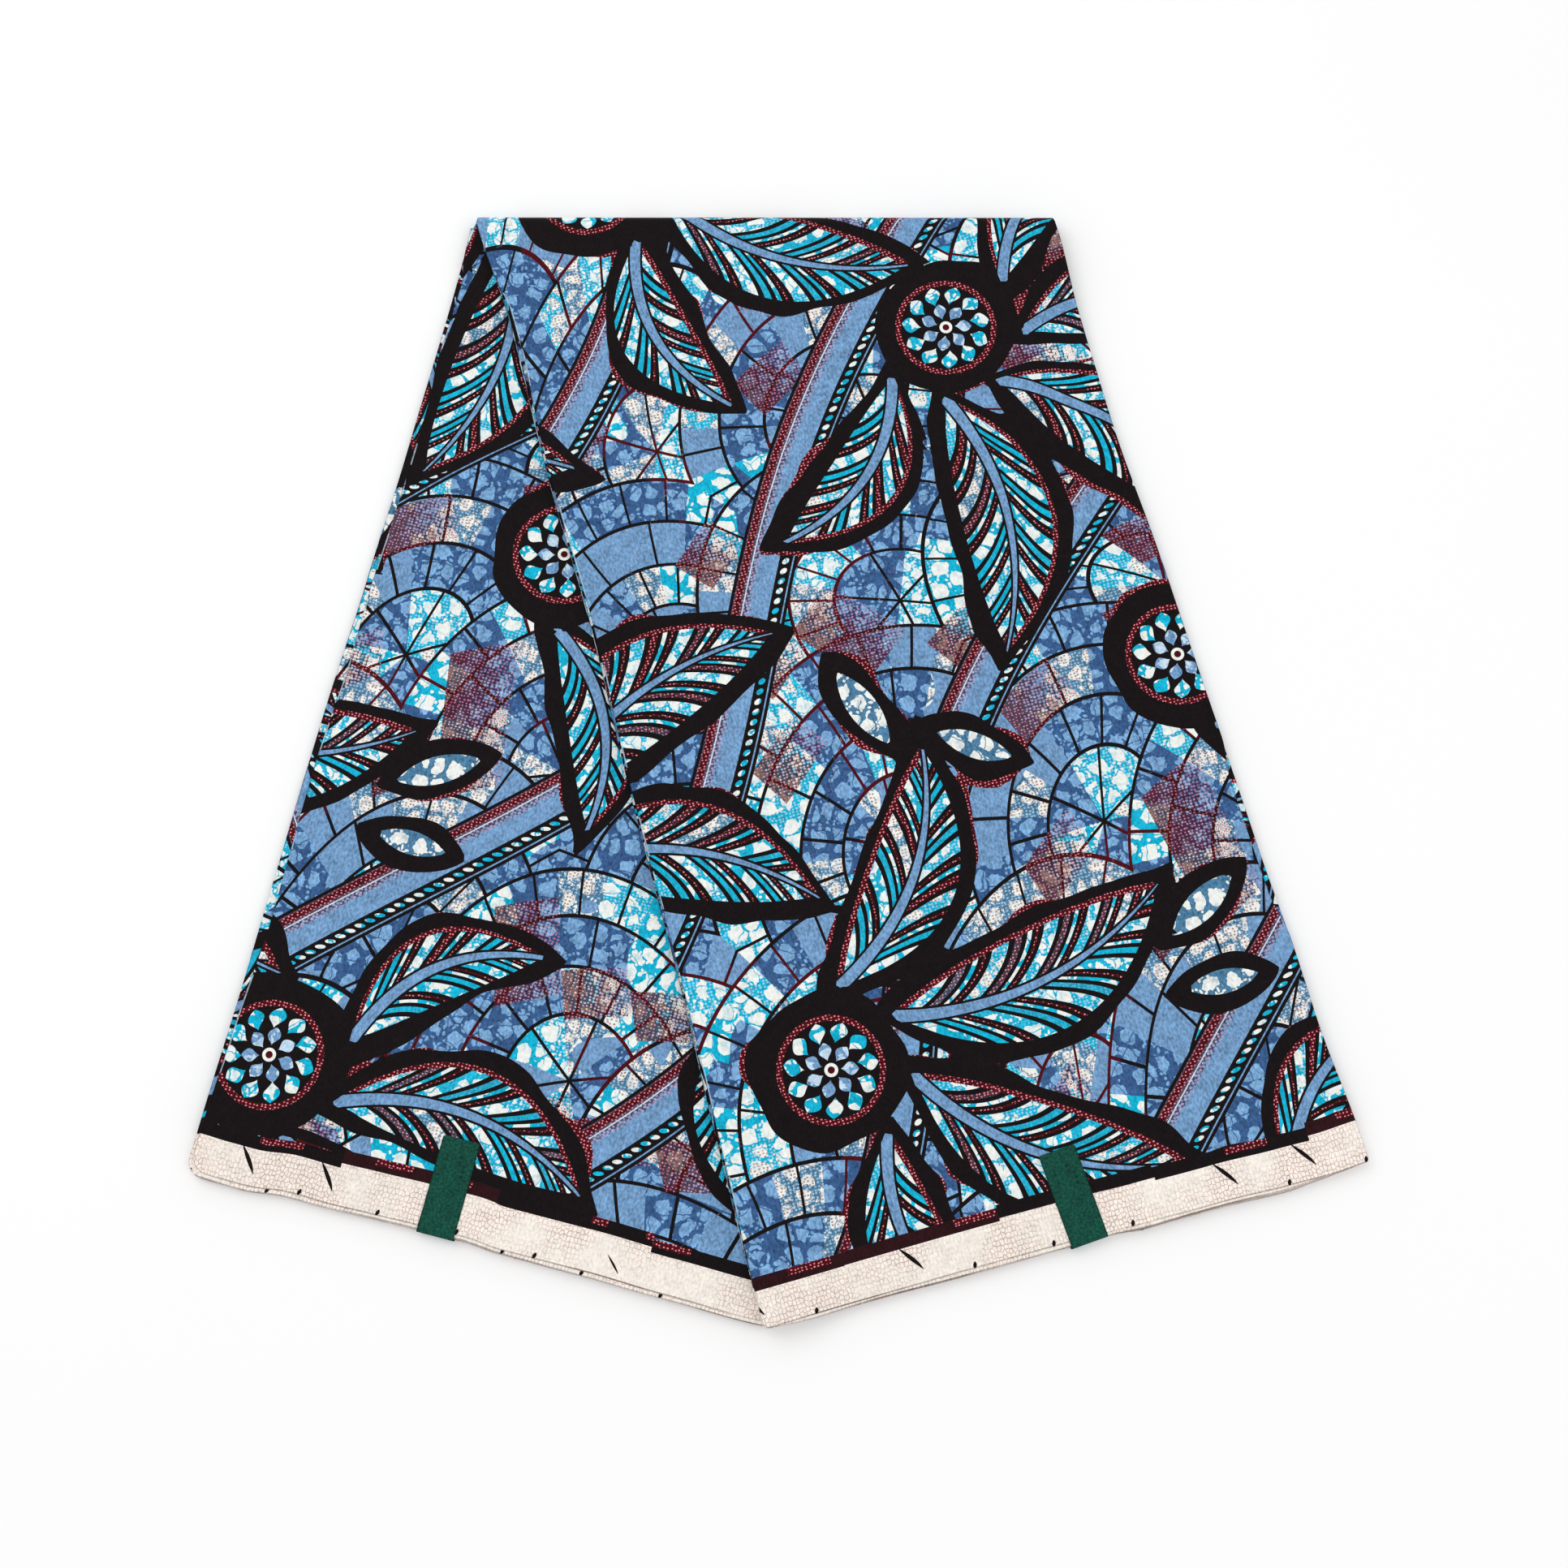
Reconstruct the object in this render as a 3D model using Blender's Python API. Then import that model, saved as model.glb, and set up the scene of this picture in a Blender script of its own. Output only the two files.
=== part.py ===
"""A length of wax print cotton, pleated into a flat packet and folded once so that its halves fan out.

The packet is a long strip whose two ends are selvedges. It is folded back on itself along the straight top
edge, the fold line. One half, the lower panel, lies on the table and points down to the left. The other
half, the upper panel, crosses over it and points down to the right, and settles onto the table beyond it.
X is to the right, -Y runs from the fold line to the selvedges, and +Z is up from the table.
"""

from collections import namedtuple
import math

import bmesh
import bpy
from mathutils import Matrix, Vector

MM = 0.001
COLLECTION_NAME = "wax_print_fabric"

# Fold line, seen from above. It is the front of the rounded back edge. The lower panel's left side starts
# a little further out than the upper panel's, and both sides draw in by the taper round the back edge.
FOLD_Y = 302.5 * MM
FOLD_LEFT_X = -173.0 * MM
FOLD_RIGHT_X = 158.6 * MM
LOWER_FOLD_LEFT_X = -177.5 * MM
FOLD_TAPER = 0.26

# Heights. Each offset is counted from the plane where the two folded halves meet.
CLOTH_WALL = 1.0 * MM
GAP = 0.3 * MM
LAYERS_THICKNESS = 3.0 * MM
INNER_START = 0.5 * GAP
INNER_END = INNER_START + CLOTH_WALL
LAYERS_START = INNER_END + GAP
LAYERS_END = LAYERS_START + LAYERS_THICKNESS
OUTER_START = LAYERS_END + GAP
OUTER_END = OUTER_START + CLOTH_WALL
MEETING_HEIGHT = OUTER_END

# The long edges of the two panels, seen from above. Each starts on the fold line, at an angle from straight
# down the page, and draws in by the amounts in its bow, as (share of the length, distance).
Edge = namedtuple("Edge", "start_x angle length inward bow")
EDGES = {
    "upper_left": Edge(
        FOLD_LEFT_X, 15.17, 631.6 * MM, 1,
        ((0, 0), (0.1, 4.0), (0.25, 2.7), (0.4, 4.8), (0.55, 3.0), (0.7, 2.9), (0.85, 1.2), (1, 0)),
    ),
    "upper_right": Edge(
        FOLD_RIGHT_X, 15.75, 543.6 * MM, -1,
        ((0, 0), (0.1, 2.7), (0.25, 4.4), (0.4, 2.8), (0.55, 2.7), (0.7, 2.9), (0.85, 2.0), (1, 0)),
    ),
    "lower_left": Edge(
        LOWER_FOLD_LEFT_X, -13.7, 549.8 * MM, 1,
        ((0, 0), (0.1, 1.3), (0.25, 1.6), (0.4, 0.8), (0.55, -0.6), (0.7, -0.3), (0.85, 0.6), (1, 0)),
    ),
    "lower_right": Edge(FOLD_RIGHT_X, -14.7, 630.4 * MM, -1, ((0, 0), (0.5, 2.0), (1, 0))),
}

# How far the lower panel's top layer stops short of the layers below it, along its left edge.
TOP_LAYER_SETBACK = (
    (0, 0), (0.1, 2.2), (0.25, 4.4), (0.4, 4.3), (0.5, 5.8), (0.6, 4.4), (0.75, 5.6), (0.86, 3.0), (1, 3.0),
)

# How each stretch of cloth ends, by panel: how far its sides lie inside the panel's edges, and how far its
# selvedge reaches past the panel's end.
Margins = namedtuple("Margins", "sides reach")
OUTER_MARGINS = {"upper": Margins(0.0 * MM, 0.0 * MM), "lower": Margins(1.2 * MM, -0.6 * MM)}
INNER_MARGINS = {"upper": Margins(1.2 * MM, 1.8 * MM), "lower": Margins(0.6 * MM, -1.8 * MM)}
LAYER_MARGINS = {"upper": Margins(0.4 * MM, 2.6 * MM), "lower": Margins(0.0 * MM, 0.0 * MM)}

# How far the middle of each panel's selvedge draws in from the straight line between its corners. Further
# from the end the draw-in fades with this power of the share of the panel's length.
END_BOWS = {"upper": 0.0 * MM, "lower": 2.8 * MM}
END_BOW_FADE = 4

# The pleats between the two outermost layers.
RIDGES = 5
RIDGE_DEPTH = 0.7 * MM
LAYERS_ROUNDING = 1.0 * MM
WALL_ROUNDING = 0.4 * MM

# Where the upper panel comes down from the lower panel's right edge onto the table.
SETTLE_START = 3.0 * MM
SETTLE_WIDTH = 34.0 * MM
SETTLE_DROP = MEETING_HEIGHT + INNER_START

# Both ends ride up a little on the tapes below them. The rise follows the distance from the fold's middle,
# and the last grid rows of each panel lie at these shares of its length.
LIFT_HEIGHT = 0.9 * MM
LIFT_START = 498 * MM
LIFT_FULL = 532 * MM
END_ROW_SHARES = (0.835, 0.9, 0.99, 1.0)

# Corners are rounded to this radius, which is also the width of the rim columns and rows beside the edges.
CORNER_RADIUS = 6.0 * MM
CORNER_DRAW_IN = 1 - math.sqrt(0.5)

# Grid of each stretch of cloth: a rim column on each side, with columns left of the settling strip, across
# it and right of it between them, and rows down the lower panel, round the fold and down the upper panel.
LEFT_COLUMNS, SETTLE_COLUMNS, RIGHT_COLUMNS = 4, 4, 4
LOWER_ROWS, FOLD_ROWS, UPPER_ROWS = 8, 6, 13
COLUMNS = LEFT_COLUMNS + SETTLE_COLUMNS + RIGHT_COLUMNS + 2
ROWS = LOWER_ROWS + FOLD_ROWS + UPPER_ROWS
NARROWEST_COLUMN = 0.012

# Green tapes. Each goes round one end: place is its share of the end line from the left, turn is how far it
# lies off square, and length is how much of it shows from above.
Tape = namedtuple("Tape", "panel place turn length")
TAPES = {
    "tape_upper": Tape("upper", 0.530, 3.6, 49.4 * MM),
    "tape_lower": Tape("lower", 0.428, -0.4, 50.6 * MM),
}
TAPE_WIDTH = 19.7 * MM
TAPE_UNDER_LENGTH = 42.0 * MM
TAPE_WALL = 0.6 * MM
TAPE_END_CLEARANCE = 0.9 * MM
TAPE_BEND_RADIUS = 1.8 * MM
TAPE_BEND_ROWS = 4
TAPE_LEG_ROWS = 4

# Plain colours, linear.
PRINT_BLUE = (0.10, 0.17, 0.32, 1.0)
LAYER_BLUE = (0.07, 0.12, 0.24, 1.0)
TAPE_GREEN = (0.010, 0.070, 0.048, 1.0)


def clear_scene():
    for old in list(bpy.data.objects):
        bpy.data.objects.remove(old, do_unlink=True)


def plain_material(name, colour, roughness):
    material = bpy.data.materials.new(name)
    material.use_nodes = True
    shader = material.node_tree.nodes["Principled BSDF"]
    shader.inputs["Base Color"].default_value = colour
    shader.inputs["Roughness"].default_value = roughness
    shader.inputs["Metallic"].default_value = 0.0
    return material


def smooth_step(value):
    value = min(max(value, 0.0), 1.0)
    return value * value * (3 - 2 * value)


def from_table(rows, share):
    """Distance at a share of the length, eased between the table's rows, which are in millimetres."""
    for (low, first), (high, second) in zip(rows, rows[1:]):
        if share <= high:
            return (first + (second - first) * smooth_step((share - low) / (high - low))) * MM
    return rows[-1][1] * MM


def edge_direction(edge):
    angle = math.radians(edge.angle)
    return Vector((math.sin(angle), -math.cos(angle)))


def edge_point(name, share, inset, reach):
    """A point on a panel's long edge, moved in from it by inset and on past its end by reach."""
    edge = EDGES[name]
    down = edge_direction(edge)
    inward = Vector((-down.y, down.x)) * edge.inward
    start = Vector((edge.start_x, FOLD_Y))
    return start + down * (edge.length + reach) * share + inward * (from_table(edge.bow, share) + inset)


def end_point(panel, share):
    left = edge_point(panel + "_left", 1.0, 0.0, 0.0)
    right = edge_point(panel + "_right", 1.0, 0.0, 0.0)
    return left.lerp(right, share)


def end_frame(panel):
    """Unit directions along a panel's selvedge, to the right, and out past it."""
    along = (end_point(panel, 1.0) - end_point(panel, 0.0)).normalized()
    return along, Vector((along.y, -along.x))


def past_lower_panel(point):
    """How far a point lies to the right of the lower panel's right edge."""
    edge = EDGES["lower_right"]
    down = edge_direction(edge)
    return (point - Vector((edge.start_x, FOLD_Y))).dot(Vector((-down.y, down.x)))


def drop_at(point):
    return SETTLE_DROP * smooth_step((past_lower_panel(point) - SETTLE_START) / SETTLE_WIDTH)


def lift_at(point):
    fold_middle = Vector((0.5 * (FOLD_LEFT_X + FOLD_RIGHT_X), FOLD_Y))
    reach = (point - fold_middle).length
    return LIFT_HEIGHT * smooth_step((reach - LIFT_START) / (LIFT_FULL - LIFT_START))


def settle_shares(share):
    """Shares across the upper panel, within its rims, where the settling strip starts and ends."""
    left = edge_point("upper_left", share, 0.0, 0.0)
    right = edge_point("upper_right", share, 0.0, 0.0)
    before, after = past_lower_panel(left), past_lower_panel(right)
    width = max(after - before, 1.0 * MM)
    starts = (SETTLE_START - before) / width
    ends = (SETTLE_START + SETTLE_WIDTH - before) / width
    highest = 1 - NARROWEST_COLUMN * RIGHT_COLUMNS
    ends = min(max(ends, NARROWEST_COLUMN * (LEFT_COLUMNS + SETTLE_COLUMNS)), highest)
    starts = min(max(starts, NARROWEST_COLUMN * LEFT_COLUMNS), ends - NARROWEST_COLUMN * SETTLE_COLUMNS)
    return starts, ends


def across_share(column, share):
    """Share across the panel of a grid column, so that the columns follow the settling strip."""
    if column in (0, COLUMNS):
        return column / COLUMNS
    starts, ends = settle_shares(share)
    inner = column - 1
    if inner <= LEFT_COLUMNS:
        within = starts * inner / LEFT_COLUMNS
    elif inner <= LEFT_COLUMNS + SETTLE_COLUMNS:
        within = starts + (ends - starts) * (inner - LEFT_COLUMNS) / SETTLE_COLUMNS
    else:
        within = ends + (1 - ends) * (inner - LEFT_COLUMNS - SETTLE_COLUMNS) / RIGHT_COLUMNS
    rim = CORNER_RADIUS / (FOLD_RIGHT_X - FOLD_LEFT_X)
    return rim + (1 - 2 * rim) * within


def down_share(row, rows):
    """Share down a panel of a grid row. The last rows are where the end lifts, its rim and its selvedge."""
    even_rows = rows - len(END_ROW_SHARES) + 1
    if row <= even_rows:
        return END_ROW_SHARES[0] * row / even_rows
    return END_ROW_SHARES[row - even_rows]


def end_draw_in(panel, across, share):
    """How far a point of a panel draws in, against the straight line between its end corners."""
    return END_BOWS[panel] * math.sin(math.pi * across) * share**END_BOW_FADE


def panel_point(panel, column, share, margins, inset, setback):
    """A point on a panel seen from above. setback is a table of how far its left side stops short."""
    at_corner = share == 1.0 and column in (0, COLUMNS)
    if at_corner:
        inset = inset + CORNER_RADIUS * CORNER_DRAW_IN
    side = margins.sides + inset
    reach = margins.reach - inset
    left_side = side + (from_table(setback, share) if setback else 0.0)
    left = edge_point(panel + "_left", share, left_side, reach)
    right = edge_point(panel + "_right", share, side, reach)
    across = across_share(column, share if panel == "upper" else 0.0)
    return left.lerp(right, across) - end_frame(panel)[1] * end_draw_in(panel, across, share)


def folded_point(column, row, offset, inset, margins, setback=None):
    """A point of the packet at a grid column and row, at an offset from the plane where its halves meet."""
    if row < LOWER_ROWS:
        share = down_share(LOWER_ROWS - row, LOWER_ROWS)
        spot = panel_point("lower", column, share, margins["lower"], inset, setback)
        return Vector((spot.x, spot.y, MEETING_HEIGHT - offset + lift_at(spot)))
    if row > LOWER_ROWS + FOLD_ROWS:
        share = down_share(row - LOWER_ROWS - FOLD_ROWS, UPPER_ROWS)
        spot = panel_point("upper", column, share, margins["upper"], inset, None)
        return Vector((spot.x, spot.y, MEETING_HEIGHT + offset + lift_at(spot) - drop_at(spot)))
    turned = (row - LOWER_ROWS) / FOLD_ROWS
    angle = math.pi * (turned - 0.5)
    inset += FOLD_TAPER * offset * math.cos(angle)
    low = panel_point("lower", column, 0.0, margins["lower"], inset, setback)
    high = panel_point("upper", column, 0.0, margins["upper"], inset, None)
    spot = low.lerp(high, turned)
    return Vector((spot.x, spot.y + offset * math.cos(angle), MEETING_HEIGHT + offset * math.sin(angle)))


def flat_slab(columns, rows, levels):
    """A closed slab of grid cells, 1 thick, with only its sides cut at each level."""
    slab = bmesh.new()
    bmesh.ops.create_grid(slab, x_segments=columns, y_segments=rows, size=0.5)
    for corner in slab.verts:
        corner.co = Vector(((corner.co.x + 0.5) * columns, (corner.co.y + 0.5) * rows, 0.0))
    top = bmesh.ops.extrude_face_region(slab, geom=list(slab.faces), use_keep_orig=True)
    for item in top["geom"]:
        if isinstance(item, bmesh.types.BMVert):
            item.co.z = 1.0
    for level in range(1, levels):
        everything = list(slab.verts) + list(slab.edges) + list(slab.faces)
        height = Vector((0, 0, level / levels))
        bmesh.ops.bisect_plane(slab, geom=everything, plane_co=height, plane_no=Vector((0, 0, 1)))
    return slab


def finished_object(name, mesh_data, material, collection):
    bmesh.ops.recalc_face_normals(mesh_data, faces=mesh_data.faces)
    if mesh_data.calc_volume(signed=True) < 0:
        bmesh.ops.reverse_faces(mesh_data, faces=mesh_data.faces)
    mesh = bpy.data.meshes.new(name)
    mesh_data.to_mesh(mesh)
    mesh_data.free()
    mesh.shade_smooth()
    mesh.set_sharp_from_angle(angle=math.radians(40))
    mesh.materials.append(material)
    made = bpy.data.objects.new(name, mesh)
    collection.objects.link(made)
    return made


def rounded_inset(level, rounding):
    """How far an edge draws in at a level from 0 to 1 through its thickness, for a round nose."""
    swing = 2 * level - 1
    return rounding * (1 - math.sqrt(max(0.0, 1 - swing * swing)))


def cloth_wall(name, start, end, margins, material, collection, setback=None):
    slab = flat_slab(COLUMNS, ROWS, 2)
    for corner in slab.verts:
        column, row, level = round(corner.co.x), round(corner.co.y), corner.co.z
        offset = start + (end - start) * level
        inset = rounded_inset(level, WALL_ROUNDING)
        corner.co = folded_point(column, row, offset, inset, margins, setback)
    return finished_object(name, slab, material, collection)


def layered_solid(name, material, collection):
    """The pleats as one solid with a rounded edge, grooved between its ridges all round."""
    levels = 2 * RIDGES
    slab = flat_slab(COLUMNS, ROWS, levels)
    for corner in slab.verts:
        column, row, level = round(corner.co.x), round(corner.co.y), corner.co.z
        offset = LAYERS_START + LAYERS_THICKNESS * level
        in_groove = round(level * levels) % 2 == 0
        inset = rounded_inset(level, LAYERS_ROUNDING) + (RIDGE_DEPTH if in_groove else 0.0)
        corner.co = folded_point(column, row, offset, inset, LAYER_MARGINS)
    return finished_object(name, slab, material, collection)


def tape_path(tape):
    """Stations along a tape's inner face, as (distance out past the end line, height, outward direction)."""
    panel_top = OUTER_END - INNER_START + LIFT_HEIGHT
    top = panel_top + GAP
    bottom = TAPE_WALL
    far = LAYER_MARGINS[tape.panel].reach - end_draw_in(tape.panel, tape.place, 1.0) + TAPE_END_CLEARANCE
    bend_start = far - TAPE_BEND_RADIUS
    first = far + TAPE_WALL - tape.length
    stations = []
    for step in range(TAPE_LEG_ROWS):
        out = first + (bend_start - first) * step / TAPE_LEG_ROWS
        stations.append((out, top, Vector((0, 1))))
    for centre_height, first_turn in ((top - TAPE_BEND_RADIUS, 0.0), (bottom + TAPE_BEND_RADIUS, 0.5)):
        for step in range(TAPE_BEND_ROWS + 1):
            turn = math.pi * (first_turn + 0.5 * step / TAPE_BEND_ROWS)
            outward = Vector((math.sin(turn), math.cos(turn)))
            out = bend_start + TAPE_BEND_RADIUS * outward.x
            stations.append((out, centre_height + TAPE_BEND_RADIUS * outward.y, outward))
    for step in range(1, TAPE_LEG_ROWS + 1):
        out = bend_start - (bend_start + TAPE_UNDER_LENGTH) * step / TAPE_LEG_ROWS
        stations.append((out, bottom, Vector((0, -1))))
    return stations


def wrapped_tape(name, tape, material, collection):
    """A flat strip bent round the end of a panel, from its top face to its underside."""
    along, out_direction = end_frame(tape.panel)
    turn = math.radians(tape.turn)
    along.rotate(Matrix.Rotation(turn, 2))
    out_direction = Vector((along.y, -along.x))
    centre = end_point(tape.panel, tape.place)
    stations = tape_path(tape)
    slab = flat_slab(2, len(stations) - 1, 1)
    for corner in slab.verts:
        out, height, outward = stations[round(corner.co.y)]
        out += outward.x * TAPE_WALL * corner.co.z
        height += outward.y * TAPE_WALL * corner.co.z
        spot = centre + along * (corner.co.x / 2 - 0.5) * TAPE_WIDTH + out_direction * out
        corner.co = Vector((spot.x, spot.y, height))
    return finished_object(name, slab, material, collection)


def build():
    clear_scene()
    collection = bpy.data.collections.new(COLLECTION_NAME)
    bpy.context.scene.collection.children.link(collection)
    printed = plain_material("printed_cotton", PRINT_BLUE, 0.85)
    pleats = plain_material("printed_cotton_pleats", LAYER_BLUE, 0.9)
    green = plain_material("green_tape", TAPE_GREEN, 0.8)
    cloth_wall("outer_layer", OUTER_START, OUTER_END, OUTER_MARGINS, printed, collection)
    cloth_wall("inner_layer", INNER_START, INNER_END, INNER_MARGINS, printed, collection, TOP_LAYER_SETBACK)
    layered_solid("folded_layers", pleats, collection)
    for name, tape in TAPES.items():
        wrapped_tape(name, tape, green, collection)


build()
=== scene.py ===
"""Finish for a pleated and once folded length of wax print cotton, with green tapes on its selvedges.

Every vertex comes from one mapping of the folded strip: a grid place across and down it, and an offset from
the plane where its halves meet. Material nodes draw the print. The meshes carry smooth distances to its
leaves, rosettes and ribbons, and the nodes cut crisp shapes out of them.
"""

import math
from collections import namedtuple
from functools import partial, partialmethod

import bpy
import numpy as np
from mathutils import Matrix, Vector


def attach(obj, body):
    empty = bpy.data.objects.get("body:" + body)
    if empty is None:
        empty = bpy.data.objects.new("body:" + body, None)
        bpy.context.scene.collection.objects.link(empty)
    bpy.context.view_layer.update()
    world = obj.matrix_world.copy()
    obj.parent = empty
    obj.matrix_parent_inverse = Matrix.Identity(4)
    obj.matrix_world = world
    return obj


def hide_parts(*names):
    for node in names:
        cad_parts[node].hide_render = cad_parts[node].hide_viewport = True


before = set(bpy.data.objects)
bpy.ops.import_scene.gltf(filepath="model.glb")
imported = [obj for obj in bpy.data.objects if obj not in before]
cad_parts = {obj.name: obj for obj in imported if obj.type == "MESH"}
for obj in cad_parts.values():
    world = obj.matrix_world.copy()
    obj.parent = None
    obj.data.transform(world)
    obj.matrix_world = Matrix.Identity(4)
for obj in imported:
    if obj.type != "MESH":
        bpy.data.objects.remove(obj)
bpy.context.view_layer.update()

MM = 0.001

# The folded strip, as in the solids.
FOLD_Y = 302.5 * MM
FOLD_LEFT_X = -173.0 * MM
FOLD_RIGHT_X = 158.6 * MM
LOWER_FOLD_LEFT_X = -177.5 * MM
FOLD_TAPER = 0.26
INNER_START = 0.15 * MM
OUTER_END = 5.75 * MM
MEETING_HEIGHT = OUTER_END


def bow(*distances, shares=(0, 0.1, 0.25, 0.4, 0.55, 0.7, 0.85, 1)):
    """How far an edge bows inwards, as rows of a share of its length and a distance."""
    return tuple(zip(shares, distances))


Edge = namedtuple("Edge", "start_x angle length inward bow")
EDGES = {
    "upper_left": Edge(FOLD_LEFT_X, 15.17, 631.6 * MM, 1, bow(0, 4.0, 2.7, 4.8, 3.0, 2.9, 1.2, 0)),
    "upper_right": Edge(FOLD_RIGHT_X, 15.75, 543.6 * MM, -1, bow(0, 2.7, 4.4, 2.8, 2.7, 2.9, 2.0, 0)),
    "lower_left": Edge(LOWER_FOLD_LEFT_X, -13.7, 549.8 * MM, 1, bow(0, 1.3, 1.6, 0.8, -0.6, -0.3, 0.6, 0)),
    "lower_right": Edge(FOLD_RIGHT_X, -14.7, 630.4 * MM, -1, bow(0, 2.0, 0, shares=(0, 0.5, 1))),
}
SETTLE_START = 3.0 * MM
SETTLE_WIDTH = 34.0 * MM
SETTLE_DROP = MEETING_HEIGHT + INNER_START
LIFT_HEIGHT = 0.9 * MM
LIFT_START = 498 * MM
LIFT_FULL = 532 * MM
FOLD_MIDDLE = np.array((0.5 * (FOLD_LEFT_X + FOLD_RIGHT_X), FOLD_Y))
STRIP_ANGLE = math.radians(15.4)
STRIP_WIDTH = 0.32
STRIP_LENGTH = 1.19
PANEL_LENGTH = STRIP_LENGTH / 2

# Radius of the rounded corner at each panel's selvedge, left and right.
CORNER_RADII = {"upper": (3.5 * MM, 2.2 * MM), "lower": (8.5 * MM, 4.0 * MM)}

# Thickness of the cloth, and the pleats that fill the packet between its two outermost layers.
CLOTH_THICKNESS = 0.45 * MM
CLOTH_GAP = 0.05 * MM
PLEAT_LAYERS = 14
PLEATS_START = INNER_START + CLOTH_THICKNESS + CLOTH_GAP
PLEATS_END = OUTER_END - CLOTH_THICKNESS - CLOTH_GAP
LEVELS_PER_LAYER = 4

# Green tapes: place is the share of the end line from the left, turn is how far the tape lies off square,
# length is how much shows from above, and far is where its inner face passes the end line.
Tape = namedtuple("Tape", "panel place turn length far")
TAPES = {
    "tape_upper": Tape("upper", 0.530, 3.6, 49.4 * MM, 3.5 * MM),
    "tape_lower": Tape("lower", 0.428, -0.4, 50.6 * MM, -2.7 * MM),
}
TAPE_WIDTH = 19.7 * MM
TAPE_UNDER_LENGTH = 42.0 * MM
TAPE_THICKNESS = 0.3 * MM
TAPE_CLEARANCE = 0.12 * MM
TAPE_BEND_RADIUS = 1.8 * MM
TAPE_UNDER_HEIGHT = 0.5 * MM
TAPE_TOP_HEIGHT = OUTER_END - INNER_START + LIFT_HEIGHT + TAPE_CLEARANCE


def smooth_step(value):
    value = np.clip(value, 0.0, 1.0)
    return value * value * (3 - 2 * value)


def from_table(rows, share):
    """Distances at shares of a length, eased between the table's rows, which are in millimetres."""
    shares, distances = np.array(rows, float).T
    index = np.clip(np.searchsorted(shares, share) - 1, 0, len(shares) - 2)
    within = (share - shares[index]) / (shares[index + 1] - shares[index])
    return (distances[index] + (distances[index + 1] - distances[index]) * smooth_step(within)) * MM


def edge_axes(edge):
    """Where a panel's long edge starts, its direction down and the direction to its right."""
    angle = math.radians(edge.angle)
    down = np.array((math.sin(angle), -math.cos(angle)))
    return np.array((edge.start_x, FOLD_Y)), down, np.array((-down[1], down[0]))


def edge_point(name, share, inset, reach):
    """Points on a panel's long edge, moved in from it by inset and on past its end by reach."""
    edge = EDGES[name]
    start, down, right = edge_axes(edge)
    along = (edge.length + reach) * share
    sideways = from_table(edge.bow, share) + inset
    return start + down * along[..., None] + right * edge.inward * sideways[..., None]


def right_of_edge(name, spot):
    """How far points lie to the right of the straight line along a panel's edge."""
    start, _, right = edge_axes(EDGES[name])
    return (spot - start) @ right


def drop_at(spot):
    return SETTLE_DROP * smooth_step((right_of_edge("lower_right", spot) - SETTLE_START) / SETTLE_WIDTH)


def lift_at(spot):
    reach = np.linalg.norm(spot - FOLD_MIDDLE, axis=-1)
    return LIFT_HEIGHT * smooth_step((reach - LIFT_START) / (LIFT_FULL - LIFT_START))


# Relief. A few broad waves, as wave lengths across and along the strip, and listed soft creases.
Wave = namedtuple("Wave", "across along phase height")
WAVES = (
    Wave(0.23, 0.31, 0.4, 0.16 * MM),
    Wave(-0.12, 0.19, 2.1, 0.10 * MM),
    Wave(0.41, 0.11, 4.4, 0.10 * MM),
    Wave(0.083, -0.15, 5.2, 0.06 * MM),
)
Crease = namedtuple("Crease", "panel start end width height")
CREASES = (
    Crease("upper", (-0.150, 0.060), (-0.020, 0.130), 9 * MM, 0.34 * MM),
    Crease("upper", (0.150, 0.150), (0.010, 0.215), 12 * MM, -0.28 * MM),
    Crease("upper", (-0.160, 0.290), (-0.060, 0.270), 8 * MM, 0.30 * MM),
    Crease("upper", (0.160, 0.330), (0.070, 0.345), 10 * MM, 0.26 * MM),
    Crease("upper", (-0.150, 0.455), (0.030, 0.420), 13 * MM, 0.30 * MM),
    Crease("upper", (0.040, 0.500), (0.155, 0.470), 9 * MM, -0.24 * MM),
    Crease("lower", (-0.150, 0.180), (-0.040, 0.235), 9 * MM, 0.30 * MM),
    Crease("lower", (-0.160, 0.330), (0.000, 0.350), 12 * MM, -0.26 * MM),
    Crease("lower", (-0.140, 0.480), (0.020, 0.450), 10 * MM, 0.28 * MM),
)
# How far a piece's top dips towards its sides, and over what width. A dip below zero is a lifted edge.
SideDips = namedtuple("SideDips", "left right width")
CLOTH_DIPS = SideDips(-0.3 * MM, 0.35 * MM, 5.0 * MM)
PLEAT_DIPS = SideDips(1.5 * MM, 0.5 * MM, 9.0 * MM)
CREASE_START = 0.15
LOWER_RELIEF_START = 4.0 * MM
LOWER_RELIEF_WIDTH = 20.0 * MM


def strip_place(spot, below_fold):
    """Distance across and along the unfolded strip, from the fold's middle."""
    sideways = spot[..., 0] - FOLD_MIDDLE[0]
    across = sideways * math.cos(STRIP_ANGLE) - below_fold * math.sin(STRIP_ANGLE)
    along = sideways * math.sin(STRIP_ANGLE) + below_fold * math.cos(STRIP_ANGLE)
    return across, along


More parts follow.
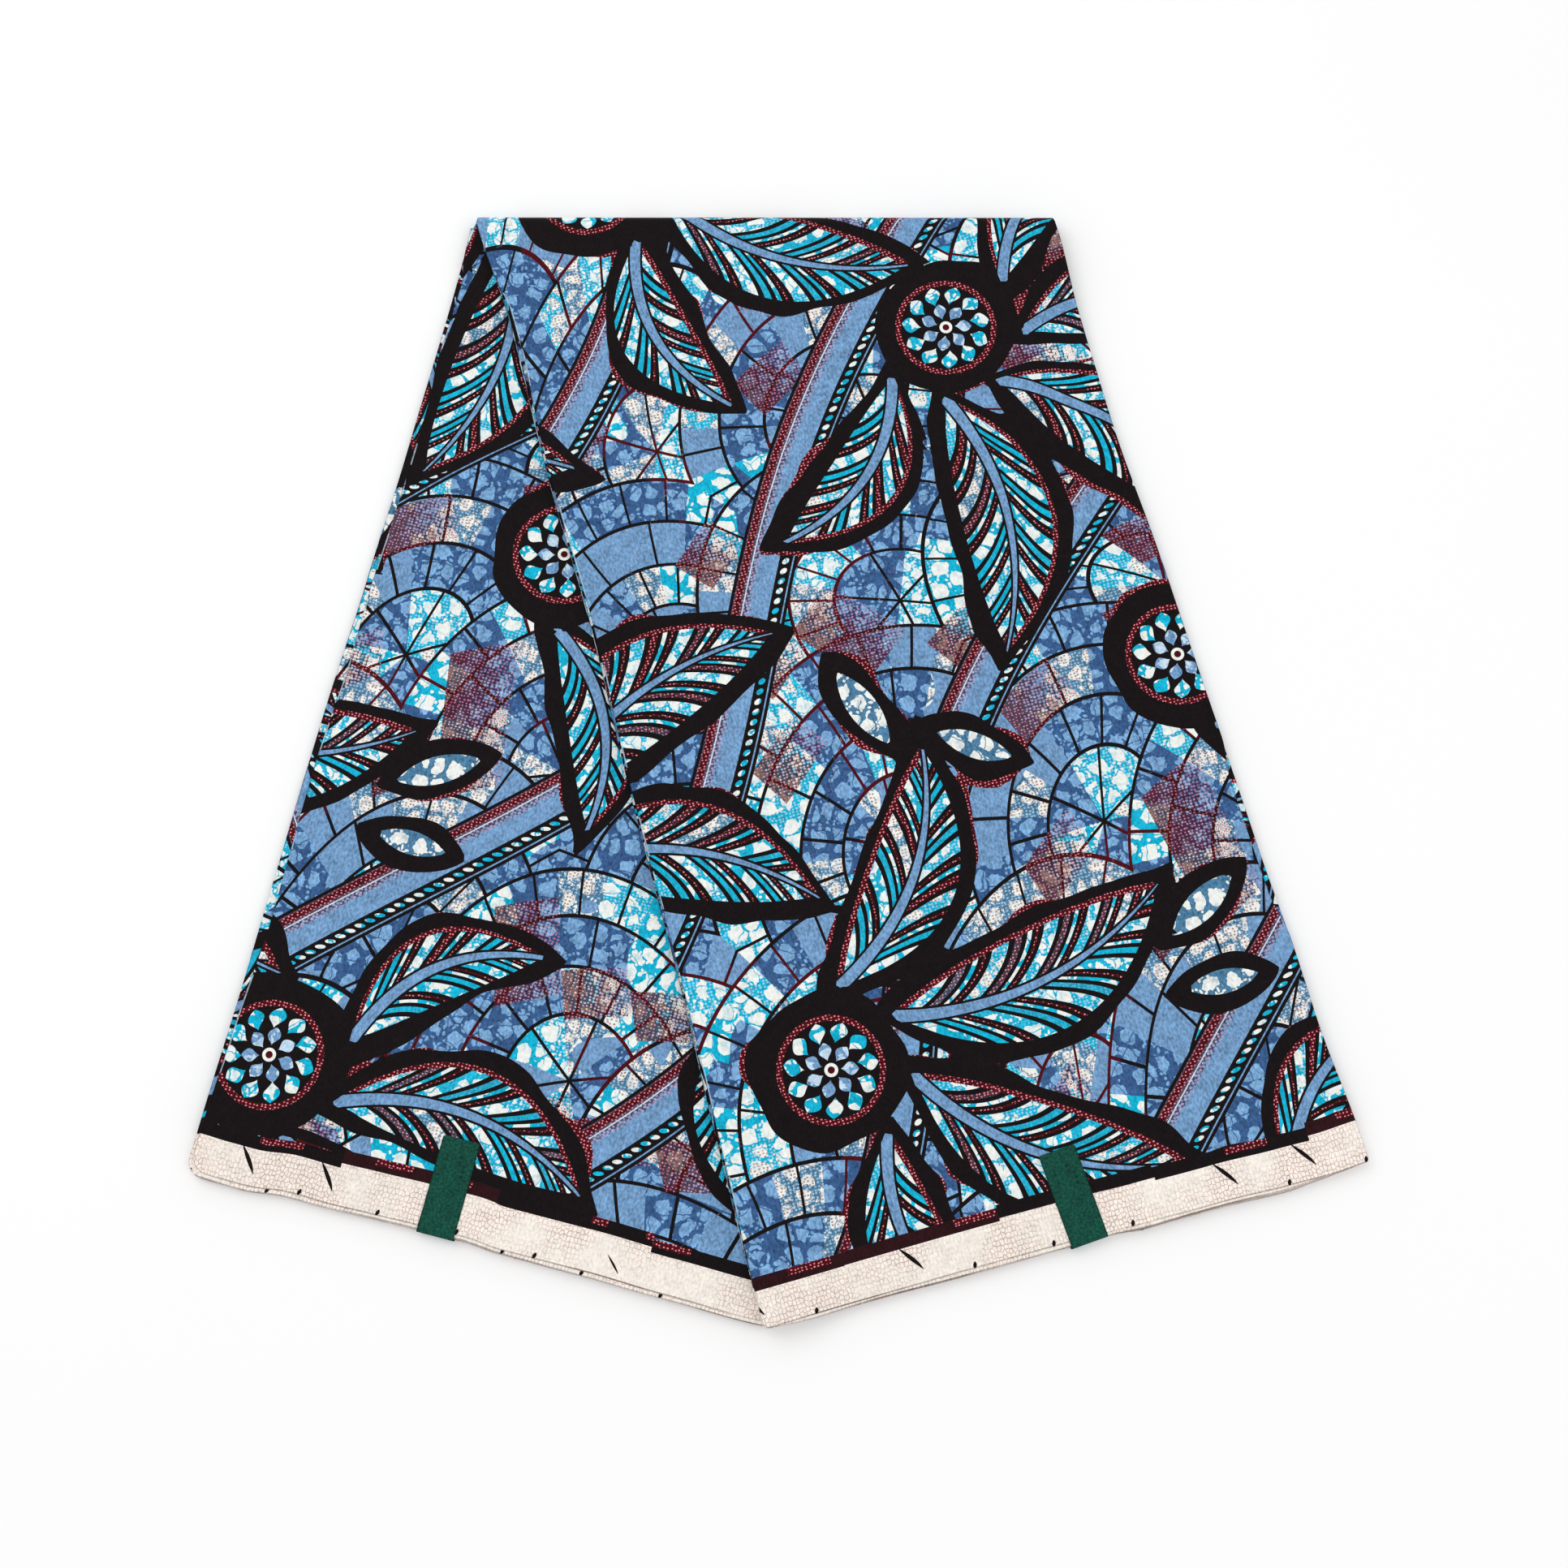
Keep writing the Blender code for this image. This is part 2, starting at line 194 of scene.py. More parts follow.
def relief_at(panel, spot):
    way = -1 if panel == "lower" else 1
    across, along = strip_place(spot, way * (FOLD_Y - spot[..., 1]))
    along = way * along
    height = np.zeros_like(across)
    for wave in WAVES:
        turns = across / wave.across + along / wave.along
        height += wave.height * np.sin(2 * math.pi * turns + wave.phase)
    place = np.stack((across, along), -1)
    for crease in CREASES:
        if crease.panel != panel:
            continue
        start = np.array(crease.start)
        line = np.array(crease.end) - start
        share = np.clip((place - start) @ line / (line @ line), 0.0, 1.0)
        away = np.linalg.norm(place - start - share[..., None] * line, axis=-1)
        fade = np.sin(math.pi * (CREASE_START + (1 - CREASE_START) * share))
        height += crease.height * fade * np.exp(-((away / crease.width) ** 2))
    if panel == "lower":
        clear = -right_of_edge("upper_left", spot) - LOWER_RELIEF_START
        height *= smooth_step(clear / LOWER_RELIEF_WIDTH)
    return height


# The packet's grid.
Insets = namedtuple("Insets", "left right reach")
RIM_STEPS = (0.0, 0.5 * MM, 1.3 * MM, 2.5 * MM, 4.0 * MM, 5.8 * MM, 8.0 * MM)


def fine_ended_shares(count, length, both_ends):
    """Shares of a length, even in the middle, with fine steps beside its end, or beside both its ends."""
    rim = np.array(RIM_STEPS) / length
    middle = np.linspace(rim[-1] if both_ends else 0.0, 1 - rim[-1], count + 1)
    return np.concatenate((rim[:-1] if both_ends else [], middle, 1 - rim[:-1][::-1]))


def rounded_corners(panel, across, down):
    """Moves grid places near a selvedge's corners inwards, so that the corners are round."""
    width, length = STRIP_WIDTH, PANEL_LENGTH
    for radius, from_left in zip(CORNER_RADII[panel], (True, False)):
        side = (across if from_left else 1 - across) * width
        end = (1 - down) * length
        near = (side < radius) & (end < radius)
        u = np.where(near, 1 - side / radius, 0.0)
        v = np.where(near, 1 - end / radius, 0.0)
        new_side = radius * (1 - u * np.sqrt(1 - v * v / 2)) / width
        new_end = radius * (1 - v * np.sqrt(1 - u * u / 2)) / length
        across = np.where(near, new_side if from_left else 1 - new_side, across)
        down = np.where(near, 1 - new_end, down)
    return across, down


def panel_spot(panel, across, down, insets):
    left = edge_point(panel + "_left", down, insets.left, insets.reach)
    right = edge_point(panel + "_right", down, insets.right, insets.reach)
    return left + (right - left) * across[..., None]


class Packet:
    """A grid over the folded strip: rows down the lower panel, round the fold and down the upper panel."""

    def __init__(self, columns, lower_rows, fold_rows, upper_rows, dips):
        self.dips = dips
        self.across = fine_ended_shares(columns, STRIP_WIDTH, True)
        self.lower_down = fine_ended_shares(lower_rows, PANEL_LENGTH, False)[::-1]
        self.turns = np.linspace(0.0, 1.0, fold_rows + 1)[1:-1]
        self.upper_down = fine_ended_shares(upper_rows, PANEL_LENGTH, False)
        self.first_upper = len(self.lower_down) + len(self.turns)

    def dip_at(self, share, depth):
        return depth * (1 - smooth_step(share * STRIP_WIDTH / self.dips.width))

    def panel(self, panel, down, offset, insets_at):
        across, down = rounded_corners(panel, *np.meshgrid(self.across, down))
        insets = insets_at(panel, across, down)
        spot = panel_spot(panel, across, down, insets)
        left, right = (EDGES[panel + side].length for side in ("_left", "_right"))
        to_end = (1 - down) * (left + (right - left) * across)
        share = offset / OUTER_END
        dip = self.dip_at(across, self.dips.left)
        if panel == "upper":
            dip = dip + self.dip_at(1 - across, self.dips.right)
            relief = (relief_at(panel, spot) - dip) * share
            height = MEETING_HEIGHT + offset + lift_at(spot) - drop_at(spot) + relief
            below_fold = FOLD_Y - spot[..., 1]
        else:
            relief = (relief_at(panel, spot) - dip) * (1 - share)
            height = MEETING_HEIGHT - offset + lift_at(spot) + relief
            below_fold = spot[..., 1] - FOLD_Y - math.pi * offset
        return spot, np.maximum(height, 0.0), below_fold, to_end

    def fold(self, offset, insets_at):
        across, turned = np.meshgrid(self.across, self.turns)
        nothing = np.zeros_like(across)
        angle = math.pi * (turned - 0.5)
        taper = FOLD_TAPER * offset * np.cos(angle)

        def tapered(panel):
            insets = insets_at(panel, across, nothing)
            drawn_in = Insets(insets.left + taper, insets.right + taper, nothing)
            return panel_spot(panel, across, nothing, drawn_in)

        low, high = tapered("lower"), tapered("upper")
        spot = low + (high - low) * turned[..., None] + np.stack((nothing, offset * np.cos(angle)), -1)
        height = MEETING_HEIGHT + offset * np.sin(angle)
        return spot, height, -offset * (math.pi / 2 - angle), nothing + PANEL_LENGTH

    def level(self, offset, insets_at):
        """Points and places on the cloth at one offset.

        A place is (across, along, distance to the selvedge, distance from the left side).
        """
        parts = (
            self.panel("lower", self.lower_down, offset, insets_at),
            self.fold(offset, insets_at),
            self.panel("upper", self.upper_down, offset, insets_at),
        )
        spot, height, below_fold, to_end = (np.concatenate(values) for values in zip(*parts))
        across, along = strip_place(spot, below_fold)
        from_left = np.broadcast_to(self.across * STRIP_WIDTH, across.shape)
        return np.dstack((spot, height)), np.dstack((across, along, to_end, from_left))


# Closed slabs over a packet's grid. A patch is where a side, or some of its rows, lies on the bake map.
PATCH_DEFAULTS = (0, None, 0.004, 0.996)
Patch = namedtuple("Patch", "side left right first_row last_row bottom top", defaults=PATCH_DEFAULTS)


def cell_corners(grid):
    """The four corners of each cell of a grid, in order round it."""
    return np.stack((grid[:-1, :-1], grid[:-1, 1:], grid[1:, 1:], grid[1:, :-1]), 2)


def slab_faces(shape):
    """Which points of a slab's grid are kept, all but those inside it, and the faces on each side."""
    kept = np.zeros(shape, bool)
    kept[0] = kept[-1] = True
    kept[:, 0] = kept[:, -1] = True
    kept[:, :, 0] = kept[:, :, -1] = True
    numbers = np.where(kept, np.cumsum(kept).reshape(kept.shape) - 1, -1)
    grids = {
        "top": numbers[-1], "bottom": numbers[0], "left": numbers[:, :, 0],
        "right": numbers[:, :, -1], "low_end": numbers[:, 0], "high_end": numbers[:, -1],
    }
    return kept, {side: cell_corners(grid) for side, grid in grids.items()}


def bake_places(sides, patches):
    """Map corners for the faces on each side of a slab."""
    places = {side: np.zeros((*faces.shape, 2)) for side, faces in sides.items()}
    for patch in patches:
        rows, columns = sides[patch.side].shape[:2]
        first, last = patch.first_row, patch.last_row or rows
        down = np.arange(last - first + 1) / (last - first)
        down, over = np.meshgrid(down, np.linspace(0.0, 1.0, columns + 1), indexing="ij")
        u, v = (down, over) if patch.side in ("left", "right") else (over, down)
        u = patch.left + (patch.right - patch.left) * u
        v = patch.bottom + (patch.top - patch.bottom) * v
        places[patch.side][first:last] = cell_corners(np.dstack((u, v)))
    return places


def side_by_side(sides):
    """All sides' faces, or their map corners, in one list. Those of the turned sides run the other way."""
    turned = ("bottom", "right", "low_end")
    lists = {side: cells.reshape(-1, *cells.shape[2:]) for side, cells in sides.items()}
    return np.concatenate([cells[:, ::-1] if side in turned else cells for side, cells in lists.items()])


def add_object(name, data):
    made = bpy.data.objects.new(name, data)
    bpy.context.scene.collection.objects.link(made)
    return made


def slab_object(name, points, cloth, printed, patches, material):
    """A closed mesh object from grids of points and of places on the cloth, by level, row and column."""
    kept, sides = slab_faces(points.shape[:3])
    points, cloth = points[kept], cloth[kept]
    faces, corners = side_by_side(sides), side_by_side(bake_places(sides, patches))
    centre = points.mean(axis=0)
    first, second, third, fourth = (points[faces[:, corner]] - centre for corner in range(4))
    across = np.cross(third - first, fourth - second)
    if np.einsum("ij,ij->i", first + second + third + fourth, across).sum() < 0:
        faces, corners = faces[:, ::-1], corners[:, ::-1]
    mesh = bpy.data.meshes.new(name)
    mesh.from_pydata(points.tolist(), [], faces.tolist())
    mesh.shade_smooth()
    bake_map = mesh.uv_layers.new(name="OFBake")
    bake_map.data.foreach_set("uv", corners.astype(np.float32).ravel())
    attributes = print_attributes(cloth) if printed else {}
    for attribute, values in {"cloth": cloth[:, :3], **attributes}.items():
        made = mesh.attributes.new(attribute, "FLOAT_VECTOR", "POINT")
        made.data.foreach_set("vector", values.astype(np.float32).ravel())
    mesh.materials.append(material)
    return add_object(name, mesh)


def packet_object(name, packet, offsets, insets_at_level, print_place, patches, material):
    """One closed piece of cloth over the packet. print_place shifts each level's place in the print."""
    levels = [packet.level(offset, partial(insets_at_level, level)) for level, offset in enumerate(offsets)]
    points = np.array([points for points, _ in levels])
    cloth = np.array([print_place(level, places) for level, (_, places) in enumerate(levels)])
    return slab_object(name, points, cloth, True, patches, material)


# The print, in its own coordinates across and along the cloth. It repeats every PRINT_REPEAT.
PRINT_REPEAT = np.array((0.40, 0.52))
Plume = namedtuple("Plume", "across along turn leaves swirl")
PLUMES = (
    Plume(0.081, 0.089, 41.0, 5, 1),
    Plume(0.306, 0.472, 79.0, 4, -1),
    Plume(0.150, 0.305, 69.0, 3, 1),
)
LEAF_LENGTHS = (118 * MM, 152 * MM, 162 * MM, 140 * MM, 112 * MM)
LEAF_WIDTH_SHARE = 0.36
LEAF_ROOT = 40 * MM
LEAF_SPREAD = 44.0
LEAF_BEND = 19 * MM
LEAF_BEND_MIDDLE = 0.4
ROSETTE_RADIUS = 34 * MM
Drop = namedtuple("Drop", "across along turn length")
DROPS = (
    Drop(0.375, 0.290, 20.0, 52 * MM),
    Drop(0.028, 0.325, 58.0, 46 * MM),
    Drop(0.120, 0.440, 120.0, 50 * MM),
    Drop(0.118, 0.482, 88.0, 42 * MM),
)
FIRST_DROP_NUMBER = 100
DROP_WIDTH_SHARE = 0.34
# Ribbons run from the top right to the bottom left, one repeat across for each repeat along.
Ribbon = namedtuple("Ribbon", "across swing phase")
RIBBONS = (
    Ribbon(0.300, 0.034, 0.9),
    Ribbon(0.510, 0.024, 3.4),
)
RIBBON_HALF_WIDTH = 14 * MM
RIBBON_STEPS = 399
SLOPE_STEP = 0.001


def wrapped(difference):
    return (difference + PRINT_REPEAT / 2) % PRINT_REPEAT - PRINT_REPEAT / 2


Leaf = namedtuple("Leaf", "centre turn length width bend number")


def all_leaves():
    rows = []
    for plume in PLUMES:
        for index in range(plume.leaves):
            turn = math.radians(plume.turn + (index - (plume.leaves - 1) / 2) * LEAF_SPREAD)
            length = LEAF_LENGTHS[index]
            reach = LEAF_ROOT + length / 2
            centre = (plume.across + math.sin(turn) * reach, plume.along + math.cos(turn) * reach)
            bend = LEAF_BEND * plume.swirl
            rows.append(Leaf(centre, turn, length, length * LEAF_WIDTH_SHARE, bend, len(rows)))
    for number, drop in enumerate(DROPS, FIRST_DROP_NUMBER):
        centre, width = (drop.across, drop.along), drop.length * DROP_WIDTH_SHARE
        rows.append(Leaf(centre, math.radians(drop.turn), drop.length, width, 0.0, number))
    return rows


def nearest(fields):
    """For each vertex, the smallest edge distance, and that motif's own coordinates."""
    edges, places = (np.array(values) for values in zip(*fields))
    best = np.argmin(edges, axis=0)
    every = np.arange(edges.shape[1])
    return edges[best, every], places[best, every]


def leaf_fields(spot):
    """For each leaf, a pair of the distance to its edge and (along it, across it, its number)."""
    for leaf in all_leaves():
        away = wrapped(spot - leaf.centre)
        along = away @ np.array((math.sin(leaf.turn), math.cos(leaf.turn)))
        across = away @ np.array((math.cos(leaf.turn), -math.sin(leaf.turn)))
        across = across + leaf.bend * ((2 * along / leaf.length) ** 2 - LEAF_BEND_MIDDLE)
        radius = (leaf.length * leaf.length / 4 + leaf.width * leaf.width / 4) / leaf.width
        edge = np.hypot(along, np.abs(across) + (radius - leaf.width / 2)) - radius
        yield edge, np.column_stack((along + leaf.length / 2, across, np.full_like(along, leaf.number)))


def rosette_fields(spot):
    for plume in PLUMES:
        away = wrapped(spot - (plume.across, plume.along))
        edge = np.linalg.norm(away, axis=-1) - ROSETTE_RADIUS
        yield edge, np.column_stack((away, edge))


def ribbon_middle(ribbon, share):
    swing = ribbon.swing * np.sin(2 * math.pi * share + ribbon.phase)
    return ribbon.across - PRINT_REPEAT[0] * share + swing


def ribbon_fields(spot):
    width, height = PRINT_REPEAT
    steps = np.linspace(0.0, 1.0, RIBBON_STEPS + 1)
    share = spot[:, 1] / height
    for ribbon in RIBBONS:
        pieces = np.hypot(np.diff(ribbon_middle(ribbon, steps)), height / RIBBON_STEPS)
        run = np.concatenate(([0.0], np.cumsum(pieces)))
        rise = ribbon_middle(ribbon, share + SLOPE_STEP) - ribbon_middle(ribbon, share - SLOPE_STEP)
        slope = rise / (2 * SLOPE_STEP * height)
        away = spot[:, 0] - ribbon_middle(ribbon, share)
        away = ((away + width / 2) % width - width / 2) / np.sqrt(1 + slope * slope)
        along = np.floor(share) * run[-1] + np.interp(share % 1.0, steps, run)
        edge = np.abs(away) - RIBBON_HALF_WIDTH
        yield edge, np.column_stack((away, along, edge))


GROUND_TURN = math.radians(24)
GROUND_SWAY = 0.030
GROUND_SWAY_LENGTHS = (0.085, 0.093)
GROUND_SWAY_PHASES = (0.6, 1.9)
SMALL_SWAY = 0.010
SMALL_SWAY_LENGTH = 0.051


def ground_place(spot):
    """The ground's own coordinates: the print's, turned and bent in slow waves."""
    x, y = spot.T
    across = x * math.cos(GROUND_TURN) - y * math.sin(GROUND_TURN)
    along = x * math.sin(GROUND_TURN) + y * math.cos(GROUND_TURN)
    first, second = (
        GROUND_SWAY * np.sin(place / wave + phase)
        for place, wave, phase in zip((along, across), GROUND_SWAY_LENGTHS, GROUND_SWAY_PHASES)
    )
    return across + first + SMALL_SWAY * np.sin(y / SMALL_SWAY_LENGTH), along + second


def print_attributes(cloth):
    spot = cloth[:, :2]
    motifs = {"leaf": leaf_fields, "rosette": rosette_fields, "ribbon": ribbon_fields}
    found = {name: nearest(fields(spot)) for name, fields in motifs.items()}
    return {
        "ground": np.column_stack((*ground_place(spot), cloth[:, 3])),
        "motif": np.column_stack([edge for edge, _ in found.values()]),
        **{name: place for name, (_, place) in found.items()},
    }


# Colours, linear.
BLACK = (0.0050, 0.0024, 0.0032, 1)
DEEP_BLUE = (0.038, 0.102, 0.250, 1)
MID_BLUE = (0.200, 0.400, 0.660, 1)
PERIWINKLE = (0.165, 0.318, 0.540, 1)
PALE_PERIWINKLE = (0.560, 0.720, 0.860, 1)
TURQUOISE = (0.004, 0.430, 0.640, 1)
CREAM = (0.870, 0.890, 0.845, 1)
STEEL = (0.070, 0.200, 0.340, 1)
BURGUNDY = (0.070, 0.001, 0.005, 1)
DUST = (0.300, 0.080, 0.075, 1)
DARK_BURGUNDY = (0.022, 0.003, 0.005, 1)
PINK = (0.840, 0.240, 0.280, 1)
SELVEDGE = (0.920, 0.860, 0.785, 1)
SELVEDGE_STIPPLE = (0.560, 0.330, 0.280, 1)
# Painted shadow along the cloth's cut ends.
EDGE_SHADOW = (0.230, 0.165, 0.140, 1)
TAPE_GREEN = (0.0055, 0.0590, 0.0400, 1)
FLOOR_WHITE = (0.950, 0.950, 0.950, 1)


class Value:
    """A node's output. Each operator, and each call on it, adds a node to the same material."""

    def __init__(self, socket):
        self.socket = socket

    def math(self, operation, *others):
        return add_node("Math", (self, *others), operation=operation)

    def __rsub__(self, other):
        return add_node("Math", (other, self), operation="SUBTRACT")

    __add__ = partialmethod(math, "ADD")
    __sub__ = partialmethod(math, "SUBTRACT")
    __mul__ = partialmethod(math, "MULTIPLY")
    __truediv__ = partialmethod(math, "DIVIDE")
    __lt__ = partialmethod(math, "LESS_THAN")
    __gt__ = partialmethod(math, "GREATER_THAN")
    __abs__ = partialmethod(math, "ABSOLUTE")
    floor = partialmethod(math, "FLOOR")
    at_least = partialmethod(math, "MAXIMUM")
    at_most = partialmethod(math, "MINIMUM")
    # line(slope, start) is the value times slope, plus start.
    line = partialmethod(math, "MULTIPLY_ADD")
    # near(middle, half) is 1 where the value is within half of the middle, and 0 elsewhere.
    near = partialmethod(math, "COMPARE")
    # wrap(high, low) moves the value by whole spans to lie between low and high.
    wrap = partialmethod(math, "WRAP")

    def split(self):
        return add_node("SeparateXYZ", (self,), 0, 1, 2)

    def stretched(self, x, y):
        return vector_node("MULTIPLY", self, (x, y, 0.0))

    def noise(self, scale, detail, output="Fac"):
        inputs = {"Vector": self, "Scale": scale, "Detail": detail}
        return add_node("TexNoise", inputs, output, noise_dimensions="2D")

    def cells(self, scale, *outputs, feature="F1", randomness=1.0):
        """Distance to the nearest point of a loose grid, and more about that point if it is named."""
        inputs = {"Vector": self, "Scale": scale, "Randomness": randomness}
        return add_node("TexVoronoi", inputs, *outputs, voronoi_dimensions="2D", feature=feature)

    # Distance to the nearest edge between a loose grid's cells.
    cell_edges = partialmethod(cells, feature="DISTANCE_TO_EDGE")

    def steps(self, rows):
        """Colours by value, constant from each row's start to the next."""
        made = add_node("ValToRGB", (self,))
        ramp = made.socket.node.color_ramp
        ramp.interpolation = "CONSTANT"
        while len(ramp.elements) < len(rows):
            ramp.elements.new(1.0)
        for element, (start, colour) in zip(ramp.elements, rows):
            element.position = start
            element.color = colour
        return made


def connect(value, socket):
    if isinstance(value, Value):
        socket.id_data.links.new(value.socket, socket)
    else:
        socket.default_value = value


def add_node(kind, inputs, *outputs, tree=None, **settings):
    """Adds a node beside its first linked input. Gives its first output, or a list of those named."""
    inputs = inputs if isinstance(inputs, dict) else dict(enumerate(inputs))
    linked = [value.socket.id_data for value in inputs.values() if isinstance(value, Value)]
    made = (tree or linked[0]).nodes.new("ShaderNode" + kind)
    for key, value in settings.items():
        setattr(made, key, value)
    for key, value in inputs.items():
        connect(value, made.inputs[key])
    values = [Value(made.outputs[output]) for output in outputs or (0,)]
    return values if outputs[1:] else values[0]


def vector_node(operation, *values, output=0):
    return add_node("VectorMath", values, output, operation=operation)


def join(*parts):
    return add_node("CombineXYZ", parts)


def length(x, y):
    return vector_node("LENGTH", join(x, y), output=1)


def shaded(colour, shade):
    return vector_node("MULTIPLY", colour, join(shade, shade, shade))


MIX_SOCKETS = {"RGBA": (6, 7, 2), "VECTOR": (4, 5, 1)}


def mix(share, first, second, kind="RGBA"):
    at_first, at_second, output = MIX_SOCKETS[kind]
    return add_node("Mix", {0: share, at_first: first, at_second: second}, output, data_type=kind)


def chance(*values):
    """A random number from 0 to 1 for each whole number, or for each set of three."""
    inputs = {"Vector": join(*values)} if values[1:] else {"W": values[0]}
    return add_node("TexWhiteNoise", inputs, "Value", noise_dimensions="3D" if values[1:] else "1D")


class Finish:
    """One new material and the vertex attributes that it reads."""

    def __init__(self, name):
        self.material = bpy.data.materials.new(name)
        self.material.use_nodes = True
        self.tree = self.material.node_tree

    def read(self, attribute):
        return add_node("Attribute", {}, "Vector", tree=self.tree, attribute_name=attribute)

    def fill(self, values):
        shader = self.tree.nodes["Principled BSDF"]
        for name, value in values.items():
            connect(value, shader.inputs[name])
        return self.material

    def fill_fabric(self, colour, height, strength, roughness):
        """Colour, relief and dull gloss of a woven surface."""
        relief = {"Height": height, "Distance": RELIEF_DISTANCE, "Strength": strength}
        return self.fill({
            "Base Color": colour, "Normal": add_node("Bump", relief), "Roughness": roughness,
            "Specular IOR Level": 0.10, "Sheen Weight": 0.01,
        })


RELIEF_DISTANCE = 0.05 * MM

# Pairs of colours for patches of the print, each from one value up: the ground and its blobs.
Tone = namedtuple("Tone", "start ground blobs")
TONES = (
    Tone(0.00, DEEP_BLUE, MID_BLUE),
    Tone(0.34, TURQUOISE, CREAM),
    Tone(0.70, STEEL, CREAM),
    Tone(0.84, PERIWINKLE, PERIWINKLE),
)
# Over one stretch of these values the ground is speckled, and over another the blobs are dusted.
Stretch = namedtuple("Stretch", "middle half")
SPECKLED = Stretch(0.65, 0.19)
DUSTED = Stretch(0.755, 0.085)
FLECK_SIZE = 0.30


class Marks(namedtuple("Marks", "blob dot speckle drift")):
    """What many parts of the print share.

    Blobs, distance to the nearest dot of the stipple, a random number for that dot, and a slow drift.
    """

    def stipple(self):
        return mix(self.dot < 0.23, BURGUNDY, PINK)

    def blobs(self, ground=TURQUOISE, blob=CREAM):
        return mix(self.blob, ground, blob)


def two_tone(value, marks):
    ground = value.steps([(tone.start, tone.ground) for tone in TONES])
    blobs = value.steps([(tone.start, tone.blobs) for tone in TONES])
    fleck = marks.dot < FLECK_SIZE
    blobs = mix(value.near(*DUSTED) * fleck * 0.75, blobs, DUST)
    ground = mix(value.near(*SPECKLED) * fleck * 0.60, ground, PALE_PERIWINKLE)
    return marks.blobs(ground, blobs)


SCALE_WIDTH = 0.196
SCALE_STEP = 0.082
SCALE_RADIUS = 0.113
SCALE_CANDIDATES = 3
Band = namedtuple("Band", "outer segment_turn")
SCALE_BANDS = (
    Band(0.113, 15.0),
    Band(0.088, 30.0),
    Band(0.061, 22.5),
    Band(0.036, 60.0),
)
OUTLINE_HALF = 1.0 * MM
SPOKE_HALF = 0.8 * MM


def ground_colour(place, marks):
    """Overlapping scales, cut into bands and cells that differ in tone, with dark outlines."""
    x, y, _ = place.split()
    top_row = ((y + SCALE_RADIUS) / SCALE_STEP).floor()
    chosen = None
    for step in reversed(range(SCALE_CANDIDATES)):
        row = top_row - step
        dy = y - row * SCALE_STEP
        shift = row.math("FLOORED_MODULO", 2.0) * (SCALE_WIDTH / 2)
        dx = (x - shift).wrap(SCALE_WIDTH / 2, -SCALE_WIDTH / 2)
        column = ((x - dx) / (SCALE_WIDTH / 2)).math("ROUND")
        candidate = join(dx, dy, row.line(17.0, column))
        if chosen is None:
            chosen = candidate
        else:
            chosen = mix(length(dx, dy) < SCALE_RADIUS, chosen, candidate, "VECTOR")
    dx, dy, number = chosen.split()
    radius = length(dx, dy)
    angle = dx.math("ARCTAN2", dy)
    tone = lines = 0.0
    for index, band in enumerate(SCALE_BANDS):
        turn = math.radians(band.segment_turn)
        picked = chance((angle / turn).floor(), number, float(index))
        to_spoke = turn / 2 - abs(angle.wrap(turn / 2, -turn / 2))
        off_spoke = to_spoke * radius > SPOKE_HALF
        inside = radius < band.outer
        tone = inside * (picked - tone) + tone
        lines = inside * ((1.0 - off_spoke) - lines) + lines
        lines = lines.at_least(radius.near(band.outer - OUTLINE_HALF, OUTLINE_HALF))
    tone = (marks.drift - 0.5).line(0.30, tone)
    colour = two_tone(tone.math("PINGPONG", 1.0) * 0.98, marks)
    return mix(lines, colour, mix(marks.drift > 0.57, BLACK, BURGUNDY))


def stippled_over(colour, marks, thinness):
    """Burgundy stipple over a colour, which shows through in growing dots where it is thin."""
    uneven = marks.speckle.line(0.22, thinness)
    colour = mix((marks.dot > uneven) * 0.85, colour, BURGUNDY)
    bright = (marks.dot < 0.24) * (thinness < 0.55)
    return mix(bright * 0.55, colour, PINK)


BLOCK_WIDTH = 37 * MM
BLOCK_HEIGHT = 26 * MM
BLOCK_RISE = 13 * MM
BLOCK_SHARE = 0.11


def overlay_blocks(place, colour, marks):
    """Blocks of burgundy stipple over some of the ground, thinning out from one side to the other."""
    x, y, _ = place.split()
    column = (x / BLOCK_WIDTH).floor()
    row = ((y + column * BLOCK_RISE) / BLOCK_HEIGHT).floor()
    bare = (chance(column, row, 5.0) > BLOCK_SHARE) * 2.0
    thinness = (x / BLOCK_WIDTH).math("FRACT").line(0.50, bare)
    return stippled_over(colour, marks, thinness)


# A ribbon's outline, and the stripes along it by their distance from its middle. Pearls lie on the dark one.
RIBBON_OUTLINE = 1.8 * MM
PALE_STRIPE = Stretch(-8.2 * MM, 0.35 * MM)
BURGUNDY_STRIPE = Stretch(-11.6 * MM, 1.6 * MM)
DARK_STRIPE = Stretch(9.6 * MM, 3.6 * MM)
PEARL_HALF_SPACING = 2.9 * MM
PEARL_RADIUS = 1.75 * MM


def ribbon_colour(place, colour, edge, marks, scratches):
    away, along, _ = place.split()
    colour = mix(edge < RIBBON_OUTLINE, colour, BLACK)
    band = mix(scratches * 0.35, PERIWINKLE, MID_BLUE)
    band = stippled_over(band, marks, away.line(95.0, 0.95))
    band = mix(away.near(*PALE_STRIPE), band, PALE_PERIWINKLE)
    colour = mix(edge < 0.0, colour, band)
    colour = mix(away.near(*BURGUNDY_STRIPE), colour, marks.stipple())
    colour = mix(away.near(*DARK_STRIPE), colour, BLACK)
    pearl_along = along.wrap(PEARL_HALF_SPACING, -PEARL_HALF_SPACING)
    pearl = length(pearl_along, away - DARK_STRIPE.middle) < PEARL_RADIUS
    return mix(pearl, colour, marks.blobs())


